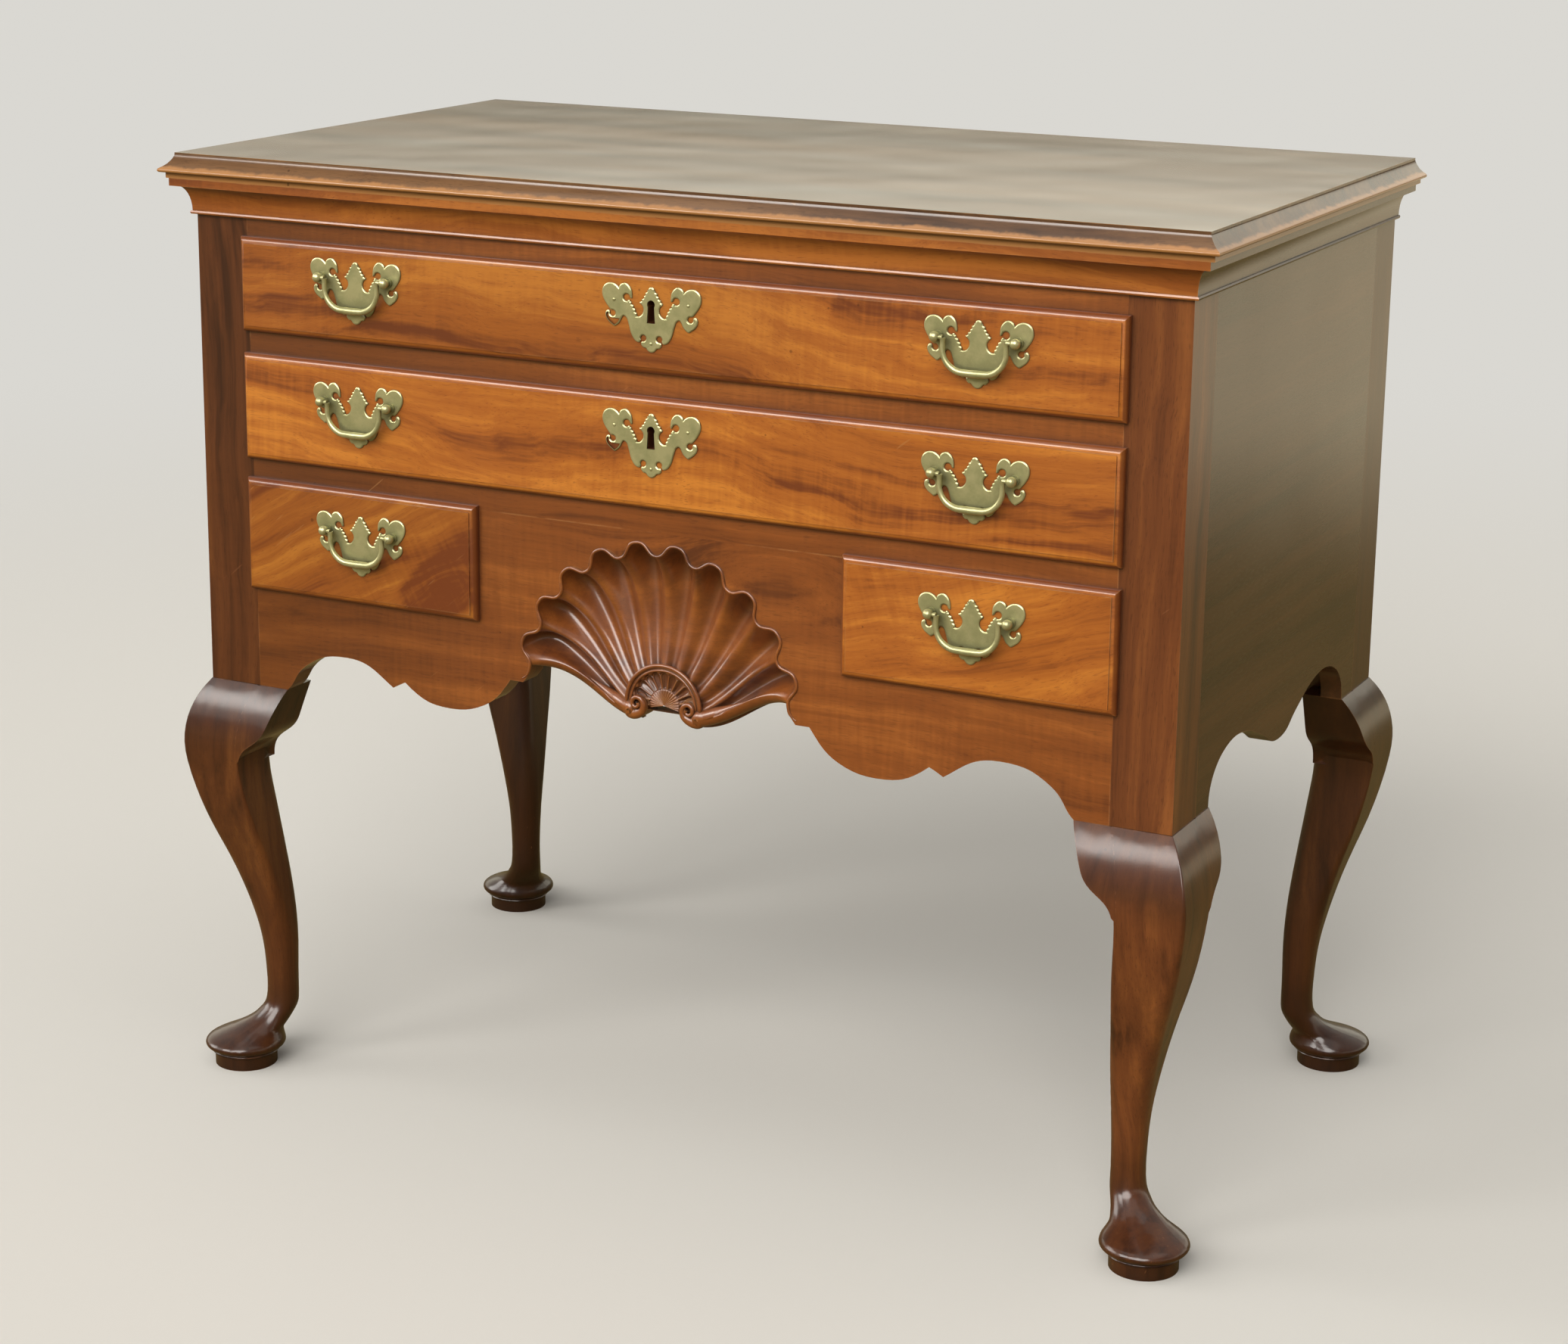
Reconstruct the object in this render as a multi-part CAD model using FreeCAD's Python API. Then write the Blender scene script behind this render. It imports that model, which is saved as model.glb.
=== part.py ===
import FreeCAD, Part

import math
import os

from FreeCAD import Vector

# A lowboy: a case of drawers on four cabriole legs. Millimetres, +Z up, front towards -Y.
# While it is built, y is measured back from the front face of the case, and the last step moves
# every piece so that the origin lies on the floor, in the middle of the object's box.

# ---- Driving dimensions -------------------------------------------------------------------------

# The case
CASE_W = 866.0            # width over the corner posts
CASE_D = 485.0            # depth over the corner posts
POST = 49.5               # square section of a corner post
KNEE_Z = 352.0            # where the posts end and the knees begin
BACK_GAP = 28.25          # room behind the drawers
SIDE_T = 18.0             # side boards
BACK_T = 14.0             # back board
BACK_UP = 44.0            # lower edge of the back board, over the knees
TENON_T = 8.0             # thickness of every tenon
TENON_L = 18.0            # reach of the side boards' tenons into the posts
RAIL_TENON_L = 9.0        # reach of the other tenons into the posts
TENON_TRIM = 22.0         # from the end of a board's edge to its tenon

# The top and its mouldings
TOP_T = 20.5              # thickness of the top board
TOP_SIDE = 24.0           # overhang past each side of the case
TOP_FRONT = 21.0          # overhang past the front of the case
TOP_REAR = 2.4            # overhang past the back of the case
EDGE_FILLET = 1.7         # square step around the top surface
EDGE_IN = 10.5            # from the nose in to that step
NOSE_Z = 12.2             # from the top surface down to the nose
NOSE_H = 3.6              # height of the nose, a half round
UNDERCUT = 5.0            # from the nose in to the board's lower part
CORNICE_H = 29.8          # height of the moulding under the top
CORNICE_P = 16.0          # how far the moulding stands out from the case
FASCIA_H = 6.3            # flat band at the head of the moulding
COVE_P = 12.0             # how far the head of the hollow stands out
COVE_FOOT_P = 2.8         # how far its foot stands out
BEAD_H = 2.6              # bead at the foot of the moulding
BEAD_P = 3.8              # how far the bead stands out from the case
BEAD_ROUND = 0.6          # how far the bead's middle swells

# The front: rails, openings and drawers
APRON_H = 89.5            # from the knees up to the short drawers' openings
SHORT_H = 88.4            # height of the short drawers' openings
MIDDLE_RAIL_H = 23.3      # height of the rail over them
SECOND_H = 81.8           # height of the second drawer's opening
UPPER_RAIL_H = 25.1       # height of the rail over it
FIRST_H = 71.2            # height of the top drawer's opening
TOP_RAIL_H = 48.2         # height of the rail under the top
RAIL_T = 78.0             # depth of the two rails between the drawers, front to back
BOARD_T = 22.0            # thickness of the top rail and the apron
RAIL_TRIM = 3.0           # from the edges of a rail between drawers to its tenons
TOP_RAIL_TRIM = 6.0       # the same on the top rail
CENTRE_HALF = 166.5       # half width of the apron between the short drawers
LIP = 3.5                 # how far a drawer's lip laps over the case
LIP_P = 8.0               # how far a drawer's front stands out from the case
LIP_ROUND = 5.2           # width of the rounded edge of a lip
LIP_QUIRK = 0.7           # small step inside the rounded edge
PLAY = 1.0                # clearance of a drawer at its sides and top
RUN_GAP = 0.3             # clearance of a drawer over its runners
FRONT_BACK = 13.0         # thickness of a drawer's front behind the lip
BOX_SIDE_T = 10.0         # thickness of a drawer's sides
BOX_BACK_T = 10.0         # thickness of a drawer's back
BOX_BACK_LOW = 6.0        # how much lower a drawer's back is than its sides
BOTTOM_T = 7.0            # thickness of a drawer's bottom
BOTTOM_UP = 5.0           # from a drawer's lower edge up to its bottom
GROOVE = 5.0              # depth of the groove that holds the bottom
TAIL_L = 9.0              # length of a dovetail
TAIL_PITCH = 24.0         # least distance from one dovetail to the next
TAIL_SLOPE = 0.16         # widening of a dovetail along its length, each side
TAIL_SHARE = 0.30         # half width of a dovetail's root, as a share of the pitch

# Inside the case
RUNNER_W = 24.0           # how far a runner reaches in under a drawer
LOW_RUNNER_H = 22.0       # height of the runners under the short drawers
GUIDE_H = 18.0            # height of the guides beside the drawers
GUIDE_W = 15.0            # width of the guides between the short drawers
KICKER_H = 20.0           # height of the kickers over the top drawer
BLOCK = 22.0              # section of the glue blocks
BLOCK_L = 60.0            # length of the glue blocks

# The legs
KNEE_SWELL = 19.4         # how far a knee stands out from the case
KNEE_LEDGE = 0.6          # step at the top of a knee
KNEE_T = 56.5             # thickness of the leg at the knee
ANKLE_IN = 23.5           # how far an ankle's outer face lies inside the case's face
ANKLE_T = 27.3            # thickness of the leg at the ankle
ANKLE_Z = 62.0            # height of the ankle's lower end
FOOT_IN = 13.1            # how far a foot's centre lies inside the case's faces
PAD_R = 34.5              # radius of the pad foot
PAD_Z = 21.0              # height where the pad is widest
PAD_FOOT_R = 29.5         # radius of the pad's lower edge
DISC_R = 27.0             # radius of the disc under the pad
DISC_H = 12.5             # height of the disc
BRACKET_W = 28.0          # width of a knee bracket beside its post
BRACKET_DROP = 65.0       # height of a knee bracket
BRACKET_T = 34.0          # depth of a knee bracket behind the face of the case
GLUE_LINE = 0.25          # gap between a bracket and its leg

# The lower edges
ARCH_RISE = 36.3          # height of the front arches over the knees
SKIRT_RISE = 41.0         # height of the side arches over the knees

# The carved shell
SHELL_X = 118.0           # half width of the shell, at the hollows of its rim
SHELL_Z = 124.7           # height of the shell over its centre, at the hollows of its rim
SHELL_LOBE = 11.0         # how far a lobe stands out beyond the hollows
SHELL_UP = 34.0           # height of the shell's centre over the knees
SHELL_LOBES = 10          # number of lobes
SHELL_FOOT = 9.2          # degrees over the level where the rim ends
SHELL_CURL = -33.0        # degrees where the lowest flutes curl in under the hub
SHELL_T = 32.0            # thickness of the shell's block
SHELL_DISH = 19.0         # depth of the dish
SHELL_FLUTE = 4.5         # depth of a flute below its ridges
SHELL_MARGIN = 5.0        # from the shell's hollows out to the end of the scallops
SEAT_CORE = 0.8           # share of the shell's outline sawn out with a plain arch
HUB_R = 32.0              # radius of the little shell at the centre
HUB_Y = 12.0              # depth of its rim behind the face
HUB_FLAT = 5.0            # its flat foot, below the centre
HUB_RIM = 1.5             # how far its rim stands out beyond that radius
HUB_RISE = 2.0            # how far its rim stands forward of the dish
HUB_BOWL = 51.2           # radius of its hollow
HUB_SINK = 8.5            # depth of its hollow
CURL_RISE = 5.0           # how far the scrolls stand forward of the dish
CURL_R = 8.5              # radius of the two scrolls beside it
CURL_X = 23.3             # distance of the scrolls from the centre line

# The brasses
PULL_IN = 111.5           # distance of the pulls from the posts
PULL_UP = (1.7, 1.5, 2.3) # heights of the plates over the middle of their openings, from the top
ESC_UP = (3.6, 6.9)       # heights of the two escutcheons over the middle of their openings
PLATE_W = 86.25           # width of the plates
PLATE_T = 1.5             # thickness of the plates
POST_HALF = 32.0          # half the distance between the two posts of a pull
POST_UP = 11.4            # height of the posts over the plate's middle
BALL_R = 4.0              # radius of a post's ball head
POST_R = 2.5              # radius of a post's shank
COLLAR_R = 4.0            # radius of the collar against the plate
COLLAR_T = 1.5            # thickness of that collar
PIVOT_OUT = 6.5           # from the plate's face out to the bail's pivot
BAIL_HALF = 25.2          # half the distance between the bail's arms
BAIL_DROP = 24.6          # from the pivot down to the grip
BAIL_R = 2.2              # radius of the bail's bar
BAIL_BEND = 16.5          # radius of the bail's bends
PIN_R = 1.5               # radius of the bail's pivot pins
PIN_FIT = 0.06            # clearance of a pin in its ball
NUT = 10.0                # width of a square nut
NUT_T = 3.0               # thickness of a nut
NAIL_R = 1.3              # radius of an escutcheon nail's head
NAIL_SHANK = 0.7          # radius of its shank
NAIL_L = 9.0              # length of its shank

# The locks
KEY_UP = 6.2              # height of the keyhole's middle over the escutcheon's middle
KEY_H = 18.0              # height of the keyhole
KEY_HEAD_R = 3.4          # radius of the keyhole's head
KEY_FOOT = 7.2            # width of the keyhole's foot
LOCK_W = 60.0             # width of a lock
LOCK_T = 9.0              # depth of a lock
LOCK_BELOW = 8.0          # how far a lock reaches below its keyhole
BOLT_UP = 1.5             # from the keyhole up to the bolt
BOLT_W = 18.0             # width of a lock's bolt
BOLT_T = 5.0              # thickness of a bolt
BOLT_FIT = 0.3            # clearance around a bolt
BOLT_THROW = 6.0          # how far a bolt rises
KEY_DEEP = 6.0            # how far the keyhole goes into the lock

# ---- Values that follow from them ---------------------------------------------------------------

HALF_W = CASE_W / 2
OPEN_3 = (KNEE_Z + APRON_H, KNEE_Z + APRON_H + SHORT_H)
OPEN_2 = (OPEN_3[1] + MIDDLE_RAIL_H, OPEN_3[1] + MIDDLE_RAIL_H + SECOND_H)
OPEN_1 = (OPEN_2[1] + UPPER_RAIL_H, OPEN_2[1] + UPPER_RAIL_H + FIRST_H)
TOP_Z = OPEN_1[1] + TOP_RAIL_H        # underside of the top board
OVERALL_H = TOP_Z + TOP_T             # floor to top surface
BOX_D = CASE_D - POST / 2 - BACK_T / 2 - BACK_GAP    # rear end of the drawers
SHELL_BASE = KNEE_Z + SHELL_UP        # height of the shell's centre
OPEN_HALF = HALF_W - POST             # inner faces of the posts
PULL_X = OPEN_HALF - PULL_IN          # distance of the pulls from the centre line
PULL_Z = [sum(o) / 2 + up for o, up in zip((OPEN_1, OPEN_2, OPEN_3), PULL_UP)]
ESC_Z = [sum(o) / 2 + up for o, up in zip((OPEN_1, OPEN_2), ESC_UP)]
BRACKET_END = POST + BRACKET_W        # from the case's edge to a bracket's end
FACE = -LIP_P                         # face of the drawers
PLATE_FACE = FACE - PLATE_T           # face of the plates
PIVOT_Y = PLATE_FACE - PIVOT_OUT      # axis of the bails
FRONT_REACH = max(BALL_R - PIVOT_Y, PAD_R - FOOT_IN, KNEE_SWELL, TOP_FRONT)
REAR_REACH = CASE_D + max(PAD_R - FOOT_IN, KNEE_SWELL, TOP_REAR)
SHIFT_Y = (FRONT_REACH - REAR_REACH) / 2

# Height from the floor (share of KNEE_Z), outward share from ankle to knee, thickness share from
# ankle to knee, and the radii of the outer arris, the two side edges and the back edge.
LEG_CURVE = [
    (0.983, 0.662, 0.842, 0.8, 1.0, 8.0),
    (0.960, 0.772, 0.901, 1.0, 1.0, 11.0),
    (0.926, 0.888, 0.969, 1.5, 1.0, 13.0),
    (0.886, 0.967, 1.000, 2.0, 1.2, 14.0),
    (0.844, 1.000, 0.997, 3.0, 1.2, 14.0),
    (0.795, 0.972, 0.938, 4.0, 1.5, 14.0),
    (0.724, 0.874, 0.863, 6.0, 2.5, 14.0),
    (0.639, 0.702, 0.729, 8.0, 4.5, 14.0),
    (0.540, 0.448, 0.493, 10.0, 7.0, 14.0),
    (0.426, 0.207, 0.277, 12.5, 11.0, 14.5),
    (0.318, 0.051, 0.092, 13.5, 13.5, 13.5),
    (0.227, 0.000, 0.000, 13.2, 13.2, 13.2),
]
# From ankle to pad: share of the height, of the radius and of the way outwards.
FOOT_CURVE = [
    (1.000, 0.000, 1.000),
    (0.860, 0.015, 0.985),
    (0.730, 0.040, 0.940),
    (0.600, 0.085, 0.835),
    (0.450, 0.170, 0.665),
    (0.350, 0.280, 0.505),
    (0.270, 0.405, 0.350),
    (0.190, 0.600, 0.200),
    (0.100, 0.840, 0.070),
    (0.040, 0.960, 0.015),
    (0.000, 1.000, 0.000),
]
# A bracket's lower edge, down to where it runs out against the leg: share of its reach from the
# case's edge, share of its drop.
BRACKET_CURVE = [(1.0, 0.0), (0.942, 0.17), (0.903, 0.29), (0.858, 0.43), (0.80, 0.585),
                 (0.70, 0.71), (0.60, 0.795), (0.548, 0.853), (0.505, 0.935), (0.486, 1.02)]
BRACKET_TIP = 0.482          # reach of its thin lower end
BRACKET_SECTIONS = 6         # sections of the leg that a bracket lies against
# Half of a side skirt, from the bracket to the middle: share of the way, share of the rise.
SKIRT_CURVE = [(1.0, 0.0), (0.97, 0.44), (0.92, 0.66), (0.85, 0.83), (0.74, 0.963), (0.65, 1.0),
               (0.545, 0.963), (0.424, 0.854), (0.30, 0.66), (0.20, 0.49), (0.12, 0.32),
               (0.06, 0.265), (0.0, 0.25)]
# The apron's edge from the bracket to the shell: share of the way, share of the rise.
ARCH_CURVE = [(1.0, 0.0), (0.976, 0.174), (0.953, 0.416), (0.892, 0.755), (0.848, 0.901),
              (0.793, 0.983), (0.738, 1.0), (0.684, 0.97), (0.637, 0.868), (0.591, 0.686),
              (0.541, 0.466)]
TIP_CURVE = [(0.541, 0.466), (0.515, 0.559), (0.49, 0.634)]
LOBE_CURVE = [(0.49, 0.634), (0.435, 0.388), (0.393, 0.267), (0.343, 0.207), (0.292, 0.196),
              (0.237, 0.229), (0.183, 0.336), (0.132, 0.512), (0.0985, 0.70), (0.069, 0.942),
              (0.052, 1.09)]
# Half of a plate's outline, in millimetres from its middle: (kind, points). An eye is a round
# notch: (centre x, centre z, radius, first angle, last angle).
PLATE_CURVE = [
    ("spline", [(0.0, 25.1), (1.8, 24.4), (2.6, 22.4)]),
    ("spline", [(2.6, 22.4), (4.2, 20.4), (5.8, 17.0)]),
    ("spline", [(5.8, 17.0), (7.8, 14.6), (9.8, 12.1)]),
    ("spline", [(9.8, 12.1), (7.6, 10.2), (6.8, 7.8), (7.4, 4.8), (9.7, 2.2), (12.2, 1.7)]),
    ("spline", [(12.2, 1.7), (13.5, 5.4), (16.0, 10.0), (19.4, 13.9)]),
    ("eye", (21.7, 15.8, 3.0, 220.0, 530.0)),
    ("spline", [(18.7, 16.3), (17.2, 15.3), (17.0, 18.0), (17.6, 21.7), (19.5, 24.7), (22.6, 26.7),
                (25.6, 26.2), (28.4, 22.6)]),
    ("spline", [(28.4, 22.6), (30.6, 24.6), (33.8, 26.0), (37.4, 26.0), (40.9, 24.2), (43.0, 20.6),
                (43.1, 16.6), (41.6, 12.8), (39.0, 9.0), (36.0, 5.6)]),
    ("eye", (34.0, 2.7, 2.6, 70.0, 378.0)),
    ("spline", [(36.5, 3.5), (38.2, 4.8), (39.9, 3.3), (40.3, 0.9), (39.0, -2.2), (36.2, -4.9),
                (32.6, -7.3)]),
    ("spline", [(32.6, -7.3), (29.6, -5.4), (27.4, -2.8), (25.9, 0.2), (24.4, 1.6)]),
    ("spline", [(24.4, 1.6), (22.2, 0.6), (20.6, -2.4), (19.5, -5.9), (18.3, -10.2), (16.3, -14.4),
                (13.4, -17.4), (10.8, -18.1), (9.4, -16.2)]),
    ("eye", (7.0, -14.7, 2.6, -32.0, 285.0)),
    ("spline", [(7.7, -17.2), (8.9, -19.0), (8.2, -20.6), (6.3, -21.9)]),
    ("spline", [(6.3, -21.9), (4.4, -22.4), (3.2, -23.9), (1.6, -24.9), (0.0, -25.2)]),
]

os.makedirs("parts", exist_ok=True)


# ---- Small helpers ------------------------------------------------------------------------------

def box(x0, x1, y0, y1, z0, z1):
    """A box between two corners."""
    return Part.makeBox(x1 - x0, y1 - y0, z1 - z0, Vector(x0, y0, z0))


def mirrored(shape):
    """The same shape on the other side of the centre line."""
    return shape.mirror(Vector(0, 0, 0), Vector(1, 0, 0))


def turned_back(shape):
    """The same shape at the rear of the case instead of the front."""
    return shape.mirror(Vector(0, CASE_D / 2, 0), Vector(0, 1, 0))


def both(shape):
    """A shape and its mirror image, as two solids of one node."""
    return Part.makeCompound([shape, mirrored(shape)])


def wire_of(edges):
    """A closed wire from edges in any order."""
    return Part.Wire(Part.__sortEdges__(edges))


def line(p, q):
    """A straight edge."""
    return Part.LineSegment(Vector(*p), Vector(*q)).toShape()


def spline(points):
    """A smooth edge through points."""
    curve = Part.BSplineCurve()
    curve.interpolate([Vector(*p) for p in points])
    return curve.toShape()


def polygon(points):
    """A flat face from its corners."""
    vectors = [Vector(*p) for p in points]
    return Part.Face(Part.makePolygon(vectors + vectors[:1]))


def export(name, shape):
    """Move a piece into the object's own frame and write it."""
    placed = shape.copy()
    placed.translate(Vector(0, SHIFT_Y, 0))
    placed.exportStep("parts/" + name + ".step")
    solids = len(placed.Solids)
    print(f"{name:24s} solids {solids} valid {placed.isValid()} volume {placed.Volume:.0f}")


# ---- Top and cornice ----------------------------------------------------------------------------

def edge_points(face, sign):
    """Moulded edge of the top, from the top surface to the underside, as (position, z)."""
    step = face - sign * EDGE_IN
    curve_top = OVERALL_H - EDGE_FILLET
    nose_top = OVERALL_H - NOSE_Z
    drop = curve_top - nose_top
    hollow = [(step + sign * EDGE_IN * u, curve_top - drop * d)
              for u, d in [(0.03, 0.10), (0.16, 0.36), (0.42, 0.68), (0.70, 0.90), (0.86, 0.985)]]
    radius = NOSE_H / 2
    nose = [(face - sign * radius * (1 - math.cos(math.radians(turn))),
             nose_top - radius * (1 - math.sin(math.radians(turn))))
            for turn in (60, 36, 12, -12, -36, -60, -90)]
    lower = face - sign * UNDERCUT
    return [(step, OVERALL_H), (step, curve_top)] + hollow + nose + [
        (lower, nose_top - NOSE_H), (lower, TOP_Z)]


def top_board():
    """The top: moulded at the front and both sides, square at the back."""
    front = -TOP_FRONT
    rear = CASE_D + TOP_REAR
    side = HALF_W + TOP_SIDE
    along = [(0, y, z) for y, z in edge_points(front, -1)]
    across = [(x, 0, z) for x, z in edge_points(side, 1)]
    lengthwise = polygon([(-side, y, z) for _, y, z in along]
                         + [(-side, rear, TOP_Z), (-side, rear, OVERALL_H)])
    crosswise = polygon([(x, front, z) for x, _, z in across]
                        + [(-x, front, z) for x, _, z in reversed(across)])
    return lengthwise.extrude(Vector(2 * side, 0, 0)).common(
        crosswise.extrude(Vector(0, rear - front, 0)))


def cornice_profile():
    """The moulding under the top, as (distance out from the case, z)."""
    foot = TOP_Z - CORNICE_H
    cove_top = TOP_Z - FASCIA_H
    cove_foot = foot + BEAD_H
    height = cove_top - cove_foot
    hollow = []
    for i in range(9):
        angle = math.radians(90 * i / 8)
        hollow.append((COVE_P - (COVE_P - COVE_FOOT_P) * math.sin(angle),
                       cove_top - height * (1 - math.cos(angle))))
    middle = foot + BEAD_H / 2
    bead = [(BEAD_P, cove_foot), (BEAD_P + BEAD_ROUND, middle), (BEAD_P, foot)]
    return [(0, TOP_Z), (CORNICE_P, TOP_Z), (CORNICE_P, cove_top)] + hollow + bead + [(0, foot)]


def cornice(side):
    """One mitred strip of the moulding: front (0) or right-hand side (1)."""
    out = CORNICE_P * 1.1
    profile = cornice_profile()
    if side:
        face = polygon([(HALF_W + p, -out, z) for p, z in profile])
        strip = face.extrude(Vector(0, CASE_D + out, 0))
        plan = [(HALF_W, 0, 0), (HALF_W + out, -out, 0), (HALF_W + out, CASE_D, 0),
                (HALF_W, CASE_D, 0)]
    else:
        face = polygon([(-HALF_W - out, -p, z) for p, z in profile])
        strip = face.extrude(Vector(2 * (HALF_W + out), 0, 0))
        plan = [(-HALF_W, 0, 0), (-HALF_W - out, -out, 0), (HALF_W + out, -out, 0), (HALF_W, 0, 0)]
    return strip.common(polygon(plan).extrude(Vector(0, 0, OVERALL_H)))


# ---- Legs ---------------------------------------------------------------------------------------

def leg_faces(share, thick):
    """Outer and inner face of a leg, measured outwards from the case's corner."""
    outer = -ANKLE_IN + share * (KNEE_SWELL + ANKLE_IN)
    return outer, outer - (ANKLE_T + thick * (KNEE_T - ANKLE_T))


def rounded_square(z, outer, inner, arris, side, back):
    """A leg's section: a square with its faces at outer and inner, and four rounded corners."""
    corners = [(outer, outer, arris, 0), (inner, outer, side, 90), (inner, inner, back, 180),
               (outer, inner, side, 270)]
    arcs = []
    for x, y, radius, start in corners:
        cx = x - math.copysign(radius, x - (outer + inner) / 2)
        cy = y - math.copysign(radius, y - (outer + inner) / 2)
        points = []
        for turn in (0, 45, 90):
            angle = math.radians(start + turn)
            points.append(Vector(cx + radius * math.cos(angle), cy + radius * math.sin(angle), z))
        arcs.append(points)
    edges = []
    for i, points in enumerate(arcs):
        edges.append(Part.Arc(*points).toShape())
        edges.append(Part.LineSegment(points[2], arcs[(i + 1) % 4][0]).toShape())
    return Part.Wire(edges)


def leg_sections():
    """All sections of a leg from the knee down to the pad's lower edge."""
    sections = [rounded_square(KNEE_Z, KNEE_LEDGE, -POST, 0.5, 1.0, 6.0)]
    for height, share, thick, arris, side, back in LEG_CURVE:
        outer, inner = leg_faces(share, thick)
        largest = (outer - inner) / 2 - 0.3
        radii = [min(r, largest) for r in (arris, side, back)]
        sections.append(rounded_square(height * KNEE_Z, outer, inner, *radii))
    ankle_r = ANKLE_T / 2
    ankle_c = -ANKLE_IN - ankle_r
    for height, grow, out in FOOT_CURVE:
        radius = ankle_r + grow * (PAD_R - ankle_r)
        centre = -FOOT_IN + out * (ankle_c + FOOT_IN)
        z = PAD_Z + height * (ANKLE_Z - PAD_Z)
        sections.append(rounded_square(z, centre + radius, centre - radius, *[radius - 0.3] * 3))
    for share in (0.55, 1.0):
        radius = PAD_R + (PAD_FOOT_R - PAD_R) * share ** 2
        z = PAD_Z + (DISC_H - PAD_Z) * share
        sections.append(rounded_square(z, radius - FOOT_IN, -radius - FOOT_IN, *[radius - 0.3] * 3))
    return sections


def leg_blank():
    """A leg with its post, standing at the origin with its outer faces towards +x and +y."""
    shaft = Part.makeLoft(leg_sections(), True, False)
    disc = Part.makeCylinder(DISC_R, DISC_H, Vector(-FOOT_IN, -FOOT_IN, 0))
    post = box(-POST, 0, -POST, 0, KNEE_Z, TOP_Z)
    return shaft.fuse([disc, post]).removeSplitter()


def leg(blank, cuts):
    """The front right-hand leg, with its mortises."""
    placed = blank.copy()
    placed = placed.mirror(Vector(0, 0, 0), Vector(0, 1, 0))
    placed.translate(Vector(HALF_W, 0, 0))
    return placed.cut(cuts)


def knee_curve():
    """The knee's outer face as (outward, z), from the ledge down past the bracket."""
    points = [(KNEE_LEDGE, KNEE_Z)]
    for height, share, thick, *_ in LEG_CURVE[:BRACKET_SECTIONS]:
        points.append((leg_faces(share, thick)[0], height * KNEE_Z))
    return points


def knee_bracket():
    """The bracket beside the front right-hand knee, under the apron."""
    profile = knee_curve()
    foot_out, foot_z = profile[-1]
    edges = [spline([(0, -out, z) for out, z in profile]),
             line((0, -foot_out, foot_z), (0, BRACKET_T, foot_z)),
             line((0, BRACKET_T, foot_z), (0, BRACKET_T, KNEE_Z)),
             line((0, BRACKET_T, KNEE_Z), (0, -KNEE_LEDGE, KNEE_Z))]
    swell = Part.Face(wire_of(edges)).extrude(Vector(HALF_W, 0, 0))
    lower = [(HALF_W - BRACKET_END * a, 0, KNEE_Z - BRACKET_DROP * b) for a, b in BRACKET_CURVE]
    lower.append((HALF_W - BRACKET_END * BRACKET_TIP, 0, foot_z))
    inner = [(HALF_W - POST - GLUE_LINE, 0, KNEE_Z)]
    for height, share, thick, *_ in LEG_CURVE[:BRACKET_SECTIONS]:
        inner.append((HALF_W + leg_faces(share, thick)[1] - GLUE_LINE, 0, height * KNEE_Z))
    edges = [spline(lower), spline(inner), line(lower[0], inner[0]), line(lower[-1], inner[-1])]
    outline = Part.Face(wire_of(edges))
    outline.translate(Vector(0, -2 * KNEE_SWELL, 0))
    return outline.extrude(Vector(0, 2 * (2 * KNEE_SWELL + BRACKET_T), 0)).common(swell)


def side_bracket(front_bracket):
    """The bracket beside the same knee, on the right-hand side of the case."""
    bracket = front_bracket.copy()
    bracket.translate(Vector(-HALF_W, 0, 0))
    return swap_xy(bracket)


def swap_xy(shape):
    """A shape built at the case's front corner, turned about the corner's diagonal plane."""
    turned = shape.mirror(Vector(0, 0, 0), Vector(1, 1, 0))
    turned.translate(Vector(HALF_W, 0, 0))
    return turned


# ---- Case boards --------------------------------------------------------------------------------

def side_board():
    """The right-hand side board with its skirt and its two tenons."""
    half = CASE_D / 2 - BRACKET_END
    middle = CASE_D / 2
    edge = [(0, middle - half * a, KNEE_Z + SKIRT_RISE * b) for a, b in SKIRT_CURVE]
    other = [(0, middle + half * a, KNEE_Z + SKIRT_RISE * b) for a, b in reversed(SKIRT_CURVE)]
    corners = [other[-1], (0, CASE_D - POST, KNEE_Z), (0, CASE_D - POST, TOP_Z),
               (0, POST, TOP_Z), (0, POST, KNEE_Z), edge[0]]
    edges = [spline(edge + other[1:])]
    edges += [line(p, q) for p, q in zip(corners, corners[1:])]
    board = Part.Face(wire_of(edges)).extrude(Vector(SIDE_T, 0, 0))
    board.translate(Vector(HALF_W - SIDE_T, 0, 0))
    return board.fuse(side_tenons()).removeSplitter()


def side_tenons():
    """Tenons of the right-hand side board, front and rear."""
    x0 = HALF_W - SIDE_T / 2 - TENON_T / 2
    z0 = KNEE_Z + SKIRT_RISE
    z1 = TOP_Z - TENON_TRIM
    return [box(x0, x0 + TENON_T, POST - TENON_L, POST, z0, z1),
            box(x0, x0 + TENON_T, CASE_D - POST, CASE_D - POST + TENON_L, z0, z1)]


def back_tenon():
    """Tenon at the right-hand end of the back board."""
    y0 = CASE_D - POST / 2 - TENON_T / 2
    return box(OPEN_HALF, OPEN_HALF + RAIL_TENON_L, y0, y0 + TENON_T,
               KNEE_Z + BACK_UP + TENON_TRIM, TOP_Z - TENON_TRIM)


def back_board():
    """The back board between the rear posts."""
    y0 = CASE_D - POST / 2 - BACK_T / 2
    board = box(-OPEN_HALF, OPEN_HALF, y0, y0 + BACK_T, KNEE_Z + BACK_UP, TOP_Z)
    return board.fuse([back_tenon(), mirrored(back_tenon())]).removeSplitter()


def rail_tenon(z0, z1):
    """Tenon at the right-hand end of a rail or of the apron."""
    y0 = BOARD_T / 2 - TENON_T / 2
    return box(OPEN_HALF, OPEN_HALF + RAIL_TENON_L, y0, y0 + TENON_T, z0, z1)


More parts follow.
